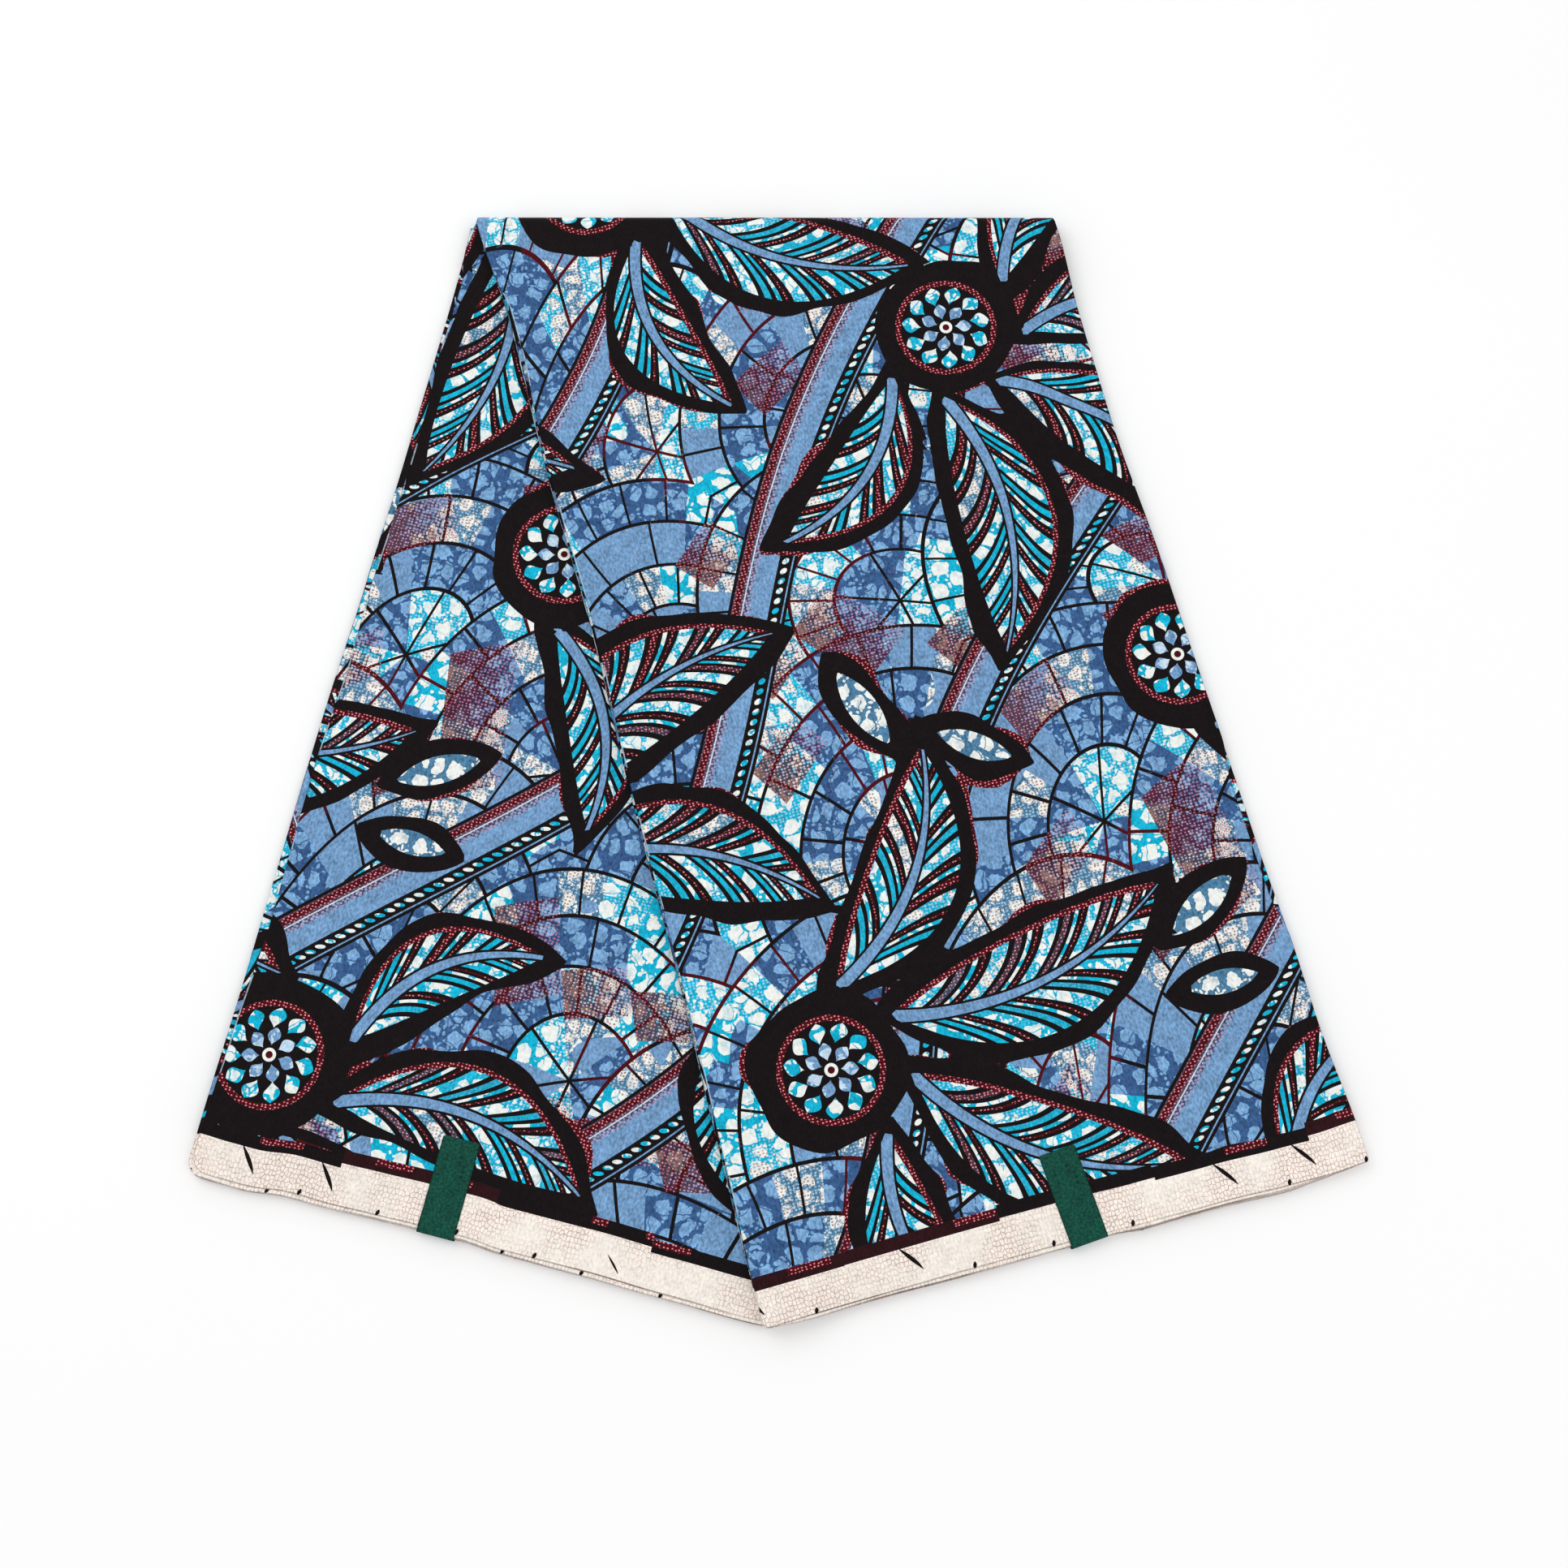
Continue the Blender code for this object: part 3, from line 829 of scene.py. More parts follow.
# Rings of petals in a rosette: how many, where they start and end, how far they turn, and their colours.
Petals = namedtuple("Petals", "count first last turn tones")
PETAL_RINGS = (
    Petals(11, 14.0 * MM, 25.0 * MM, 0.0, (TURQUOISE, CREAM)),
    Petals(7, 5.0 * MM, 14.5 * MM, 0.3, (PERIWINKLE, PALE_PERIWINKLE)),
)
PETAL_FULLNESS = 0.40
ROSETTE_RIM = Stretch(27.0 * MM, 1.6 * MM)
ROSETTE_TWIST = 9.0
ROSETTE_CENTRE = 3.6 * MM
ROSETTE_EYE = 1.9 * MM


def rosette_colour(place, colour, edge, marks):
    x, y, _ = place.split()
    inside = edge < 0.0
    radius = length(x, y)
    turned = radius.line(ROSETTE_TWIST, x.math("ARCTAN2", y))
    disc = mix(radius.near(*ROSETTE_RIM), BLACK, marks.stipple())
    for ring in PETAL_RINGS:
        half_turn = math.pi / ring.count
        off = abs((turned + ring.turn).wrap(half_turn, -half_turn)) * radius
        share = (radius - ring.first) / (ring.last - ring.first)
        swell = (share.at_least(0.0).math("POWER", 1.4) * math.pi).math("SINE")
        widest = PETAL_FULLNESS * half_turn * (ring.first + ring.last)
        petal = (off < swell * widest) * share.near(0.5, 0.5)
        disc = mix(petal, disc, marks.blobs(*ring.tones))
    disc = mix(radius < ROSETTE_CENTRE, disc, CREAM)
    disc = mix(radius < ROSETTE_EYE, disc, BURGUNDY)
    return mix(inside, colour, disc)


# A leaf's barbs slant back from its midrib. Bars lie across each barb, by share of the way to the next one.
BARB_PERIOD = 31 * MM
BARB_SLANT = 2.0
BARB_CURVE = 26.0
WIDE_BAR_END = 0.30
THIN_BAR = Stretch(0.49, 0.07)
BLOB_BAR = Stretch(0.71, 0.045)
STIPPLE_BAR = Stretch(0.87, 0.025)
LEAF_OUTLINE = 1.6 * MM
LEAF_RIM = Stretch(-1.4 * MM, 1.4 * MM)
MIDRIB_HALF = 4.8 * MM
MIDRIB_TAPER = 0.020
MIDRIB_OUTLINE = 1.3 * MM
DROP_OUTLINE = 0.8 * MM


def leaf_colour(place, colour, edge, marks):
    """Leaves with slanting barbs in bright bars on black, and small drops with a plain filling."""
    along, across, number = place.split()
    inside = edge < 0.0
    off = abs(across)
    slanted = off.line(-BARB_SLANT, along)
    turns = (off * off).line(BARB_CURVE, slanted) / BARB_PERIOD
    barb, share = turns.floor(), turns.math("FRACT")
    picked = chance(barb, number, across.math("SIGN"))
    fill = two_tone(picked.line(0.36, 0.38), marks)
    fill = mix(share > WIDE_BAR_END, fill, BLACK)
    thin_colour = mix(picked > 0.5, TURQUOISE, marks.stipple())
    fill = mix(share.near(*THIN_BAR), fill, thin_colour)
    fill = mix(share.near(*BLOB_BAR), fill, marks.blobs())
    fill = mix(share.near(*STIPPLE_BAR), fill, marks.stipple())
    fill = mix(edge > -LEAF_OUTLINE, fill, BLACK)
    rim = edge.near(*LEAF_RIM) * (across > 0.0)
    fill = mix(rim, fill, marks.stipple())
    midrib = along.line(-MIDRIB_TAPER, MIDRIB_HALF)
    fill = mix(off < midrib, fill, BLACK)
    fill = mix(off + MIDRIB_OUTLINE < midrib, fill, PERIWINKLE)
    drop = mix(edge > -DROP_OUTLINE, marks.blobs(STEEL), BLACK)
    fill = mix(number > FIRST_DROP_NUMBER - 1, fill, drop)
    return mix(inside, colour, fill)


LOOP_WIDTH = 2.0 * MM
LOOP_HEIGHT = 2.6 * MM
SELVEDGE_DEPTH = 18.4 * MM
BORDER_DEPTH = 25.2 * MM
BORDER_PATCH_START = 21.6 * MM
BORDER_STEP = 83 * MM
BORDER_STEP_START = 31 * MM
BORDER_STEP_HEIGHT = 3.4 * MM
# How far the painted shadow reaches in from the cut end.
EDGE_SHADOW_DEPTH = 0.5 * MM
# Rows of slanting ticks. Each lies between two distances from the end, and a share of its places has a tick.
Ticks = namedtuple("Ticks", "slant shift low high width share")
TICK_ROWS = (
    Ticks(0.50, 9.0, 6.0, 20.0, 1.35, 0.32),
    Ticks(0.85, 24.0, 3.0, 11.5, 0.85, 0.30),
    Ticks(-0.25, 29.0, -0.6, 3.2, 1.00, 0.50),
)
TICK_SPACING = 42 * MM
TICK_CURVE = 9.0


def selvedge_colour(colour, across, to_end, cloth, marks):
    """The dark border and the cream selvedge, with rows of fine dashes, a painted shadow along the cut end
    and a few slanting ticks.
    """
    span = ((across + BORDER_STEP_START) / BORDER_STEP).floor()
    edge = chance(span).line(-BORDER_STEP_HEIGHT, to_end)
    patches = join(across, 0.0).noise(34.0, 0.0) > 0.56
    patches = patches * (edge > BORDER_PATCH_START)
    plain_border = mix(chance(span, 7.0, 2.0) > 0.62, BLACK, DARK_BURGUNDY)
    dark = mix(patches, plain_border, marks.stipple())
    colour = mix(edge < BORDER_DEPTH, colour, dark)
    loops = join(across / LOOP_WIDTH, to_end / LOOP_HEIGHT)
    loop = loops.cell_edges(1.0, randomness=0.6) < 0.09
    faded = cloth.noise(26.0, 2.0).line(2.8, -0.85).at_least(0.10).at_most(0.80)
    plain = mix(loop * faded, SELVEDGE, SELVEDGE_STIPPLE)
    # A dark line of uneven strength along the cut end: painted shadow under each layer's edge, which also
    # darkens the layers' end faces.
    wear_highlight_and_shadow = join(across, 0.0).noise(12.0, 1.0).line(3.4, -1.25).at_least(0.08).at_most(0.85)
    plain = mix((to_end < EDGE_SHADOW_DEPTH) * wear_highlight_and_shadow, plain, EDGE_SHADOW)
    for ticks in TICK_ROWS:
        leaning = to_end.line(ticks.slant, across + ticks.shift * MM)
        leaning = (to_end * to_end).line(TICK_CURVE, leaning)
        cell = (leaning / TICK_SPACING).floor()
        within = leaning.wrap(TICK_SPACING, 0.0)
        height = ticks.high - ticks.low
        share = to_end.line(2 / (height * MM), -(ticks.high + ticks.low) / height)
        swell = (share * share).line(-ticks.width * MM, ticks.width * MM)
        tick = within.near(TICK_SPACING / 2, swell.at_least(0.0)) * share.near(0.0, 1.0)
        tick = tick * (chance(cell, ticks.shift, 4.0) < ticks.share)
        plain = mix(tick, plain, BLACK)
    return mix(edge < SELVEDGE_DEPTH, colour, plain)


# Cells to a metre: the dots of the stipple across and along the cloth, blobs, small blobs and cracks.
DOT_SCALES = (480.0, 570.0)
BLOB_SCALE = 95.0
SMALL_BLOB_SCALE = 300.0
CRACK_SCALE = 60.0


def blob_pattern(cloth, bent, drift, dot):
    """Pale cracked blobs with dotted edges: how much of their colour shows, from 0 to 1."""
    crowding = cloth.noise(42.0, 1.0)
    between = bent.cell_edges(BLOB_SCALE)
    rounding = (bent.cells(BLOB_SCALE) - 0.26).at_least(0.0) * 0.62
    grain = crowding.line(0.60, -0.21)
    limit = (dot - 0.34).line(grain, crowding.line(0.26, -0.045))
    blob = between - rounding > limit
    small = (bent.cells(SMALL_BLOB_SCALE) < 0.27) * (cloth.noise(60.0, 0.0) > 0.50)
    blob = blob.at_least(small)
    crack = (bent.cell_edges(CRACK_SCALE) < 0.020) * (drift > 0.45)
    blob = blob * (1.0 - crack * 0.85)
    return blob * cloth.noise(170.0, 1.0).line(1.0, 0.45).at_most(1.0)


# Leaves and rosettes stand in an uneven dark halo, and some of it has a stippled rim.
HALO_LEAST = 0.3 * MM
HALO_SWING = 14 * MM
HALO_RIM_START = -16.5 * MM
HALO_RIM_SWING = 28 * MM
FOLD_LINE_WIDTH = 0.6 * MM
WARP_REACH = 4.2 * MM
THREAD_PITCH = 0.46 * MM


def printed_cotton(name):
    finish = Finish(name)
    cloth = finish.read("cloth")
    across, along, to_end = cloth.split()
    warp = vector_node("SUBTRACT", cloth.noise(150.0, 1.5, "Color"), (0.5, 0.5, 0.5))
    bent = vector_node("ADD", cloth, vector_node("MULTIPLY", warp, (WARP_REACH, WARP_REACH, WARP_REACH)))
    drift = cloth.noise(13.0, 1.0)
    dots = cloth.stretched(*DOT_SCALES)
    dot, dot_colour = dots.cells(1.0, "Distance", "Color", randomness=0.45)
    speckle = dot_colour.split()[0]
    marks = Marks(blob_pattern(cloth, bent, drift, dot), dot, speckle, drift)
    colour = ground_colour(finish.read("ground"), marks)
    colour = overlay_blocks(finish.read("ground"), colour, marks)
    scratches = cloth.stretched(700.0, 90.0).noise(1.0, 1.0) > 0.63
    leaf_edge, rosette_edge, ribbon_edge = finish.read("motif").split()
    colour = ribbon_colour(finish.read("ribbon"), colour, ribbon_edge, marks, scratches)
    halo = leaf_edge.at_most(rosette_edge)
    reach = cloth.noise(21.0, 1.0).line(HALO_SWING, HALO_LEAST)
    rim = bent.noise(17.0, 1.0).line(HALO_RIM_SWING, HALO_RIM_START).at_least(0.0)
    colour = mix(halo < reach + rim, colour, marks.stipple())
    colour = mix(halo < reach, colour, BLACK)
    colour = rosette_colour(finish.read("rosette"), colour, rosette_edge, marks)
    colour = leaf_colour(finish.read("leaf"), colour, leaf_edge, marks)
    # A pale line along the left fold edge: partly wear, partly a painted highlight where the fold catches
    # light.
    from_left = finish.read("ground").split()[2]
    wear_highlight_and_shadow = (cloth.noise(38.0, 1.0) > 0.53) * (from_left < FOLD_LINE_WIDTH)
    colour = mix(wear_highlight_and_shadow * 0.6, colour, PALE_PERIWINKLE)
    colour = selvedge_colour(colour, across, to_end, cloth, marks)
    # Uneven dye, strongest in the darker colours, over a weave with slight crepe wrinkles.
    grain = cloth.stretched(760.0, 470.0).noise(1.0, 2.0)
    uneven = cloth.noise(150.0, 3.0).line(0.50, grain - 0.75)
    strength = colour.split()[1].line(-1.7, 1.91).at_most(1.45)
    colour = shaded(colour, uneven.line(strength, drift.line(0.10, 0.91)))
    warp_thread, weft_thread = ((way * (2 * math.pi / THREAD_PITCH)).math("SINE") for way in (across, along))
    crepe = cloth.stretched(260.0, 170.0).noise(1.0, 3.0)
    height = crepe.line(3.0, warp_thread * weft_thread * 0.25)
    return finish.fill_fabric(colour, height, 0.6, crepe.line(0.16, 0.60))


TAPE_SHADED_EDGE = 0.6 * MM
TAPE_RIB_PITCH = 0.7 * MM


def woven_tape(name):
    finish = Finish(name)
    tape = finish.read("cloth")
    across, along, _ = tape.split()
    mottled = tape.noise(130.0, 3.0)
    shade = mottled.line(0.80, tape.noise(720.0, 2.0).line(2.0, -0.32))
    # Both long edges are painted darker, as painted shade along the tape's edges.
    edge = abs(across) > TAPE_WIDTH / 2 - TAPE_SHADED_EDGE
    colour = shaded(TAPE_GREEN[:3], edge.line(-0.30, shade))
    ribs = (along * (2 * math.pi / TAPE_RIB_PITCH)).math("SINE")
    return finish.fill_fabric(colour, mottled.line(1.5, ribs * 0.3), 0.5, mottled.line(0.2, 0.68))


def floor_finish(name):
    finish = Finish(name)
    place = add_node("TexCoord", {}, "Object", tree=finish.tree)
    colour = shaded(FLOOR_WHITE[:3], place.noise(3.0, 2.0).line(0.01, 0.995))
    return finish.fill({"Base Color": colour, "Roughness": 0.9, "Specular IOR Level": 0.1})


# Distances by share of a panel's length. Where a setback is given, the layer below the cloth shows as a
# narrow strip. Every layer of the upper panel draws in at its right side.
NO_SETBACK = ((0, 0), (1, 0))
OUTER_SETBACKS = {
    ("upper", "left"): (
        (0, 0), (0.06, 0), (0.09, 2.2), (0.14, 2.7), (0.22, 1.7), (0.4, 1.9), (0.6, 1.3), (0.8, 1.8),
        (1, 0.6),
    ),
    ("upper", "right"): ((0, 0), (0.57, 0), (0.62, 3.3), (0.73, 3.3), (0.78, 0), (1, 0)),
}
INNER_SETBACKS = {
    ("lower", "left"): (
        (0, 0), (0.03, 0.5), (0.06, 3.3), (0.1, 3.0), (0.15, 2.4), (0.2, 4.4), (0.3, 4.6), (0.4, 4.3),
        (0.5, 6.0), (0.6, 4.3), (0.75, 5.6), (0.86, 3.0), (0.96, 2.2), (1, 3.0),
    ),
}
RIGHT_DRAW = {"upper": ((0, 0), (0.76, 0), (0.88, 1.7), (0.95, 1.3), (1, 1.6)), "lower": NO_SETBACK}
# Distances by share across a panel: how far its lowest layer and the upper panel's top layer reach past
# the end line. The lower panel's top layer is a fixed way behind its lowest.
LOWEST_REACH = {
    "upper": (
        (0, 0.4), (0.09, 2.2), (0.18, 2), (0.33, 3), (0.46, 3.1), (0.57, 3.1), (0.63, 5), (0.75, 5.1),
        (0.87, 6.6), (0.92, 5.4), (0.97, 4.2), (1, 2.8),
    ),
    "lower": (
        (0, -1.6), (0.05, -0.9), (0.1, -0.6), (0.17, -2.8), (0.24, -2.2), (0.31, -2.7), (0.38, -3.1),
        (0.475, -3.1), (0.53, -1.6), (0.67, -1.2), (0.81, 0), (0.95, 1), (1, 0.6),
    ),
}
TOP_REACH = (
    (0, 0), (0.4, 0), (0.5, 0.3), (0.63, 1.5), (0.75, 2.2), (0.87, 3.6), (0.93, 4.0), (1, 3.0),
)
TOP_REACH_BEHIND = 2.8 * MM
CLOTH_LEVELS = 3
NOSE_ROUNDING = 0.2 * MM
CLOTH_SIDE_WAVER = 0.12 * MM
CLOTH_END_WAVER = 0.14 * MM
FOLD_ROWS_SEEN = 10


SEED_TURN = 2.4
WaverPart = namedtuple("WaverPart", "share length turns")
WAVER_PARTS = (WaverPart(1.0, 0.071, 1.0), WaverPart(0.6, 0.029, 1.7), WaverPart(0.4, 0.0131, 2.9))


def edge_waver(seed, place, height):
    """A slow uneven waver along an edge, so no two layers end on the same line."""
    turn = SEED_TURN * seed
    return height * sum(
        part.share * np.sin(place / part.length + part.turns * turn) for part in WAVER_PARTS
    )


def outermost_reach(panel, across, on_top):
    if on_top and panel == "upper":
        return from_table(TOP_REACH, across)
    return from_table(LOWEST_REACH[panel], across) - (TOP_REACH_BEHIND if on_top else 0.0)


def moved_print(places, across, along, mirror=1, inwards=0.0):
    """Places moved over the print, and away from the left side's fold line."""
    return places * (1, mirror, 1, 1) + (across, along, 0.0, inwards)


# The two outermost stretches: the first level's offset, how far each panel's sides lie in, the panel that it
# is on top of, where it lies in the print, and the columns and rows of its grid.
Cloth = namedtuple("Cloth", "offset sides setbacks top_panel seed across along mirror grid")
CLOTHS = {
    "upper_cloth": Cloth(
        PLEATS_END + CLOTH_GAP, {"upper": 0.0 * MM, "lower": 0.3 * MM}, OUTER_SETBACKS, "upper", 3,
        0.0, 0.0, 1, (96, 76, 12, 178),
    ),
    "lower_cloth": Cloth(
        INNER_START, {"upper": 1.2 * MM, "lower": 0.2 * MM}, INNER_SETBACKS, "lower", 8,
        0.205, 0.085, -1, (96, 170, 8, 70),
    ),
}


def cloth_insets(cloth, level, panel, across, down):
    swing = 2 * level / (CLOTH_LEVELS - 1) - 1
    nose = NOSE_ROUNDING * (1 - math.sqrt(1 - swing * swing))
    along = down * PANEL_LENGTH
    insets = []
    for number, side in enumerate(("left", "right")):
        inset = cloth.sides[panel] + nose + edge_waver(cloth.seed + number, along, CLOTH_SIDE_WAVER)
        inset = inset + from_table(RIGHT_DRAW[panel] if side == "right" else NO_SETBACK, down)
        insets.append(inset + from_table(cloth.setbacks.get((panel, side), NO_SETBACK), down))
    reach = outermost_reach(panel, across, panel == cloth.top_panel) - nose
    reach = reach + edge_waver(cloth.seed + 2, across * STRIP_WIDTH, CLOTH_END_WAVER)
    return Insets(*insets, reach * smooth_step(down))


def make_cloth(name, material):
    """One outermost stretch. What shows of it has the most room on its bake map."""
    cloth = CLOTHS[name]
    packet = Packet(*cloth.grid, CLOTH_DIPS)
    if cloth.top_panel == "upper":
        face, back, first_seen = "top", "bottom", packet.first_upper - FOLD_ROWS_SEEN
        seen, hidden = (first_seen, None), (0, first_seen)
    else:
        face, back, last_seen = "bottom", "top", len(packet.lower_down) - 1
        seen, hidden = (0, last_seen), (last_seen, None)
    patches = (
        Patch(face, 0.004, 0.700, *seen),
        Patch(face, 0.706, 0.910, *hidden),
        Patch(back, 0.916, 0.960),
        Patch("left", 0.964, 0.974),
        Patch("right", 0.978, 0.988),
        Patch("low_end", 0.991, 0.997, top=0.400),
        Patch("high_end", 0.991, 0.997, bottom=0.410),
    )
    offsets = [cloth.offset + CLOTH_THICKNESS * level / (CLOTH_LEVELS - 1) for level in range(CLOTH_LEVELS)]

    def print_place(_, places):
        return moved_print(places, cloth.across, cloth.along, cloth.mirror)

    return packet_object(name, packet, offsets, partial(cloth_insets, cloth), print_place, patches, material)


# The pleats between them: how deep the grooves between layers are, and how the layers' edges lie. The
# layers' sides lean inwards away from the table, and their ends draw back from the lowest one's.
PLEAT_LEVELS = PLEAT_LAYERS * LEVELS_PER_LAYER
GROOVE_DEPTH = 2.6 * MM
FOLD_CREASE = 0.10 * MM
LAYER_ROUNDING = 0.12 * MM
PLEAT_SIDE = 0.2 * MM
PLEAT_LEAN = 0.3 * MM
PLEAT_SIDE_WAVER = 0.18 * MM
PLEAT_END_WAVER = 0.16 * MM
LOWER_END_BACK = 0.2 * MM
LOWER_END_LEAN = 0.6 * MM
UPPER_REACH_SHARE = 0.95
UPPER_REACH_LOSS = 0.20
LEFT_SEED, RIGHT_SEED, END_SEED = 20, 50, 80
PAIR_PRINT_STEP = (0.137, 0.061)


def pleat_insets(level, panel, across, down):
    """Insets of one level of the pleats. Layers join in pairs at their sides, as folded cloth does."""
    share = level / PLEAT_LEVELS
    layer, part = divmod(min(level, PLEAT_LEVELS - 1), LEVELS_PER_LAYER)
    between_layers = part == 0 and level > 0
    along = down * PANEL_LENGTH

    def side_inset(pair_shift, seed):
        pair, joined = divmod(layer + pair_shift, 2)
        lean = PLEAT_LEAN * (1 - share if panel == "lower" else share)
        inset = PLEAT_SIDE + lean + edge_waver(seed + pair, along, PLEAT_SIDE_WAVER)
        if between_layers:
            return inset + (FOLD_CREASE if joined else GROOVE_DEPTH)
        return inset + (0.0 if part == 2 else LAYER_ROUNDING)

    right = side_inset(1, RIGHT_SEED) + from_table(RIGHT_DRAW[panel], down)
    lowest = outermost_reach(panel, across, False)
    if panel == "lower":
        reach = lowest - LOWER_END_BACK - LOWER_END_LEAN * (1 - share)
    else:
        reach = lowest * (UPPER_REACH_SHARE - UPPER_REACH_LOSS * share)
    reach = reach + edge_waver(END_SEED + layer, across * STRIP_WIDTH, PLEAT_END_WAVER)
    if between_layers:
        reach = reach - GROOVE_DEPTH
    return Insets(side_inset(0, LEFT_SEED), right, reach * smooth_step(down))


def pleat_print(level, places):
    """Each folded pair's part of the print. The left side counts as inside, so no fold line shows."""
    pair = min(level, PLEAT_LEVELS - 1) // (2 * LEVELS_PER_LAYER)
    across, along = PAIR_PRINT_STEP
    return moved_print(places, across * (pair + 1), along * pair, inwards=STRIP_WIDTH)


def make_pleats(material):
    rise = (PLEATS_END - PLEATS_START) / PLEAT_LEVELS
    offsets = [PLEATS_START + rise * level for level in range(PLEAT_LEVELS + 1)]
    patches = (
        Patch("left", 0.004, 0.240),
        Patch("right", 0.246, 0.480),
        Patch("bottom", 0.486, 0.640),
        Patch("top", 0.646, 0.740),
        Patch("low_end", 0.746, 0.996, top=0.490),
        Patch("high_end", 0.746, 0.996, bottom=0.500),
    )
    packet = Packet(34, 96, 10, 96, PLEAT_DIPS)
    return packet_object("pleat_layers", packet, offsets, pleat_insets, pleat_print, patches, material)


def end_frame(tape):
    """Where a tape crosses its panel's end line, and its directions along that line and outwards."""
    one, nothing = np.ones(1), np.zeros(1)
    left, right = (edge_point(tape.panel + side, one, nothing, nothing)[0] for side in ("_left", "_right"))
    along = (right - left) / np.linalg.norm(right - left)
    cos, sin = math.cos(math.radians(tape.turn)), math.sin(math.radians(tape.turn))
    along = np.array((along[0] * cos - along[1] * sin, along[0] * sin + along[1] * cos))
    return left + (right - left) * tape.place, along, np.array((along[1], -along[0]))


def cloth_top(panel, spot):
    """Height of a panel's upper face, away from its sides."""
    if panel == "upper":
        return MEETING_HEIGHT + OUTER_END + lift_at(spot) - drop_at(spot) + relief_at(panel, spot)
    return MEETING_HEIGHT - INNER_START + lift_at(spot) + relief_at(panel, spot)


TAPE_COLUMNS = 14
TAPE_LEG_ROWS = 26
TAPE_BEND_ROWS = 7
TAPE_CORNER_RADIUS = 1.5 * MM
TAPE_CORNER_STEPS = (0.0, 0.1 * MM, 0.3 * MM, 0.6 * MM, 1.0 * MM, 1.5 * MM)
TAPE_RAMP = 10 * MM
TAPE_PATCHES = (
    Patch("top", 0.004, 0.560),
    Patch("bottom", 0.580, 0.880),
    Patch("left", 0.890, 0.920),
    Patch("right", 0.930, 0.960),
    Patch("low_end", 0.970, 0.996, top=0.400),
    Patch("high_end", 0.970, 0.996, bottom=0.410),
)
UP, DOWN = (0.0, 1.0), (0.0, -1.0)


def tape_centre_line(tape):
    """Stations round a selvedge, as (distance out, height or None on the cloth, outward direction)."""
    bend_start = tape.far - TAPE_BEND_RADIUS
    first = tape.far + TAPE_THICKNESS - tape.length
    stations = [(first + step, None, UP) for step in TAPE_CORNER_STEPS]
    last_corner = first + TAPE_CORNER_RADIUS
    for step in range(1, TAPE_LEG_ROWS + 1):
        stations.append((last_corner + (bend_start - last_corner) * step / TAPE_LEG_ROWS, None, UP))
    top_middle = TAPE_TOP_HEIGHT - TAPE_BEND_RADIUS
    under_middle = TAPE_UNDER_HEIGHT + TAPE_BEND_RADIUS
    for middle, start, first_step in ((top_middle, 0.0, 1), (under_middle, 0.5, 0)):
        for step in range(first_step, TAPE_BEND_ROWS + 1):
            turn = math.pi * (start + 0.5 * step / TAPE_BEND_ROWS)
            outward = (math.sin(turn), math.cos(turn))
            out = bend_start + TAPE_BEND_RADIUS * outward[0]
            stations.append((out, middle + TAPE_BEND_RADIUS * outward[1], outward))
    for step in range(1, TAPE_LEG_ROWS + 1):
        stations.append((bend_start - TAPE_UNDER_LENGTH * step / TAPE_LEG_ROWS, TAPE_UNDER_HEIGHT, DOWN))
    return stations


def make_tape(name, tape, material):
    """A flat strip round a selvedge. Returns it and its length laid out flat."""
    centre, along, outwards = end_frame(tape)
    stations = tape_centre_line(tape)
    places = [(out, TAPE_TOP_HEIGHT if height is None else height) for out, height, _ in stations]
    steps = [math.dist(place, before) for before, place in zip(places, places[1:])]
    runs = np.concatenate(([0.0], np.cumsum(steps)))
    bend_start = tape.far - TAPE_BEND_RADIUS
    points = np.zeros((2, len(stations), TAPE_COLUMNS + 1, 3))
    cloth = np.zeros_like(points)
    for row, (out, height, outward) in enumerate(stations):
        corner = max(TAPE_CORNER_RADIUS - runs[row], 0.0)
        narrowed = TAPE_CORNER_RADIUS - math.sqrt(TAPE_CORNER_RADIUS**2 - corner**2)
        sideways = np.linspace(-0.5, 0.5, TAPE_COLUMNS + 1) * (TAPE_WIDTH - 2 * narrowed)
        spot = centre + sideways[:, None] * along + out * outwards
        base = np.full_like(sideways, height or 0.0)
        if height is None:
            resting = cloth_top(tape.panel, spot) + TAPE_CLEARANCE
            level = smooth_step(np.full_like(resting, 1 + (out - bend_start) / TAPE_RAMP))
            base = resting + (TAPE_TOP_HEIGHT - resting) * level
        for side in (0, 1):
            push = TAPE_THICKNESS * side
            moved = spot + outwards * outward[0] * push
            points[side, row] = np.column_stack((moved, base + outward[1] * push))
        run = np.full_like(sideways, runs[row])
        cloth[:, row] = np.column_stack((sideways, run, np.ones_like(sideways)))
    return slab_object(name, points, cloth, False, TAPE_PATCHES, material), float(runs[-1])


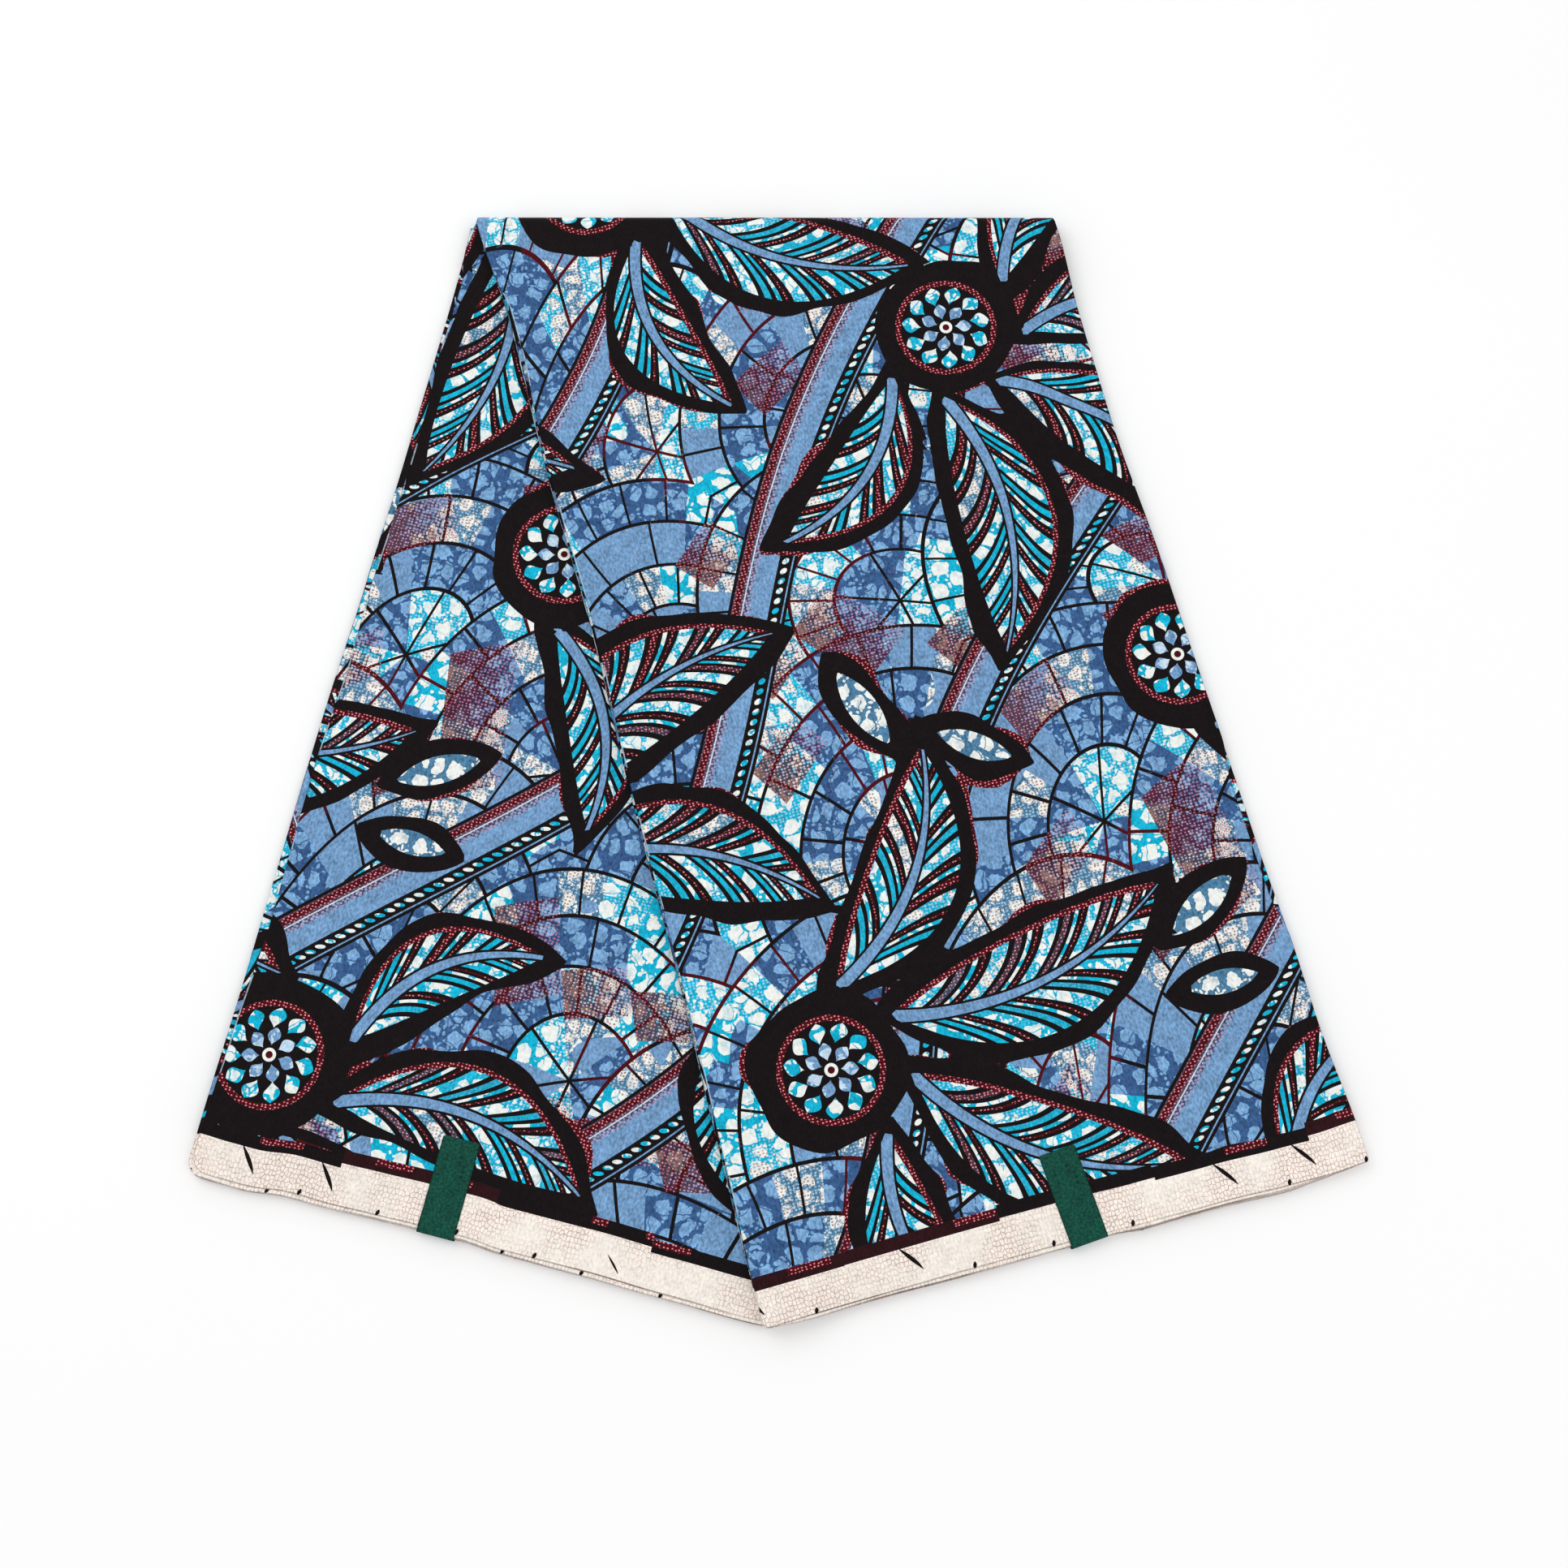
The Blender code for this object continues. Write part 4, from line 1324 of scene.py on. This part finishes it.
# The camera, at the photograph's distance and tilt, and two soft lights that face the packet's middle.
CAMERA_PLACE = (3.0 * MM, -233.1 * MM, 986.9 * MM)
CAMERA_TILT = math.radians(12.0)
CAMERA_LENS = 42.73
SENSOR_WIDTH = 36.0
CAMERA_CLIP = (0.02, 50.0)
WORLD_STRENGTH = 0.85
FLOOR_HALF_SIZE = 6.0
LIGHT_SIZE = 1.6
Light = namedtuple("Light", "name power place")
LIGHTS = (
    Light("light_left", 9.5, (-1.1, 0.9, 1.7)),
    Light("light_right", 5.3, (1.3, -0.5, 1.8)),
)


def make_camera():
    data = bpy.data.cameras.new("photo_camera")
    data.lens, data.sensor_width = CAMERA_LENS, SENSOR_WIDTH
    data.clip_start, data.clip_end = CAMERA_CLIP
    camera = add_object("photo_camera", data)
    camera.location = CAMERA_PLACE
    camera.rotation_euler = (CAMERA_TILT, 0.0, 0.0)
    bpy.context.scene.camera = camera


def make_surroundings():
    mesh = bpy.data.meshes.new("floor")
    reach = FLOOR_HALF_SIZE
    corners = [(x * reach, y * reach, 0.0) for x, y in ((-1, -1), (1, -1), (1, 1), (-1, 1))]
    mesh.from_pydata(corners, [], [(0, 1, 2, 3)])
    mesh.materials.append(floor_finish("floor_white"))
    floor = add_object("floor", mesh)
    world = bpy.data.worlds.new("studio")
    world.use_nodes = True
    background = world.node_tree.nodes["Background"].inputs
    background["Color"].default_value = (1, 1, 1, 1)
    background["Strength"].default_value = WORLD_STRENGTH
    bpy.context.scene.world = world
    bpy.context.scene.view_settings.view_transform = "Standard"
    for light in LIGHTS:
        data = bpy.data.lights.new(light.name, "AREA")
        data.shape, data.size, data.energy = "DISK", LIGHT_SIZE, light.power
        lamp = add_object(light.name, data)
        lamp.location = light.place
        lamp.rotation_euler = (-Vector(light.place)).to_track_quat("-Z", "Y").to_euler()


def main():
    make_camera()
    cotton = printed_cotton("printed_cotton")
    strip = (STRIP_WIDTH, STRIP_LENGTH)
    sheets = [
        (make_cloth("upper_cloth", cotton), "outer_layer", "printed_cotton", strip),
        (make_cloth("lower_cloth", cotton), "inner_layer", "printed_cotton", strip),
        (make_pleats(cotton), "folded_layers", "printed_cotton_pleats", strip),
    ]
    green = woven_tape("green_tape")
    for name, tape in TAPES.items():
        piece, flat_length = make_tape(name + "_woven", tape, green)
        sheets.append((piece, name, "green_tape", (TAPE_WIDTH, flat_length)))
    for piece, node, slot, flat in sheets:
        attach(piece, "root")
        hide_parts(node)
    make_surroundings()


main()
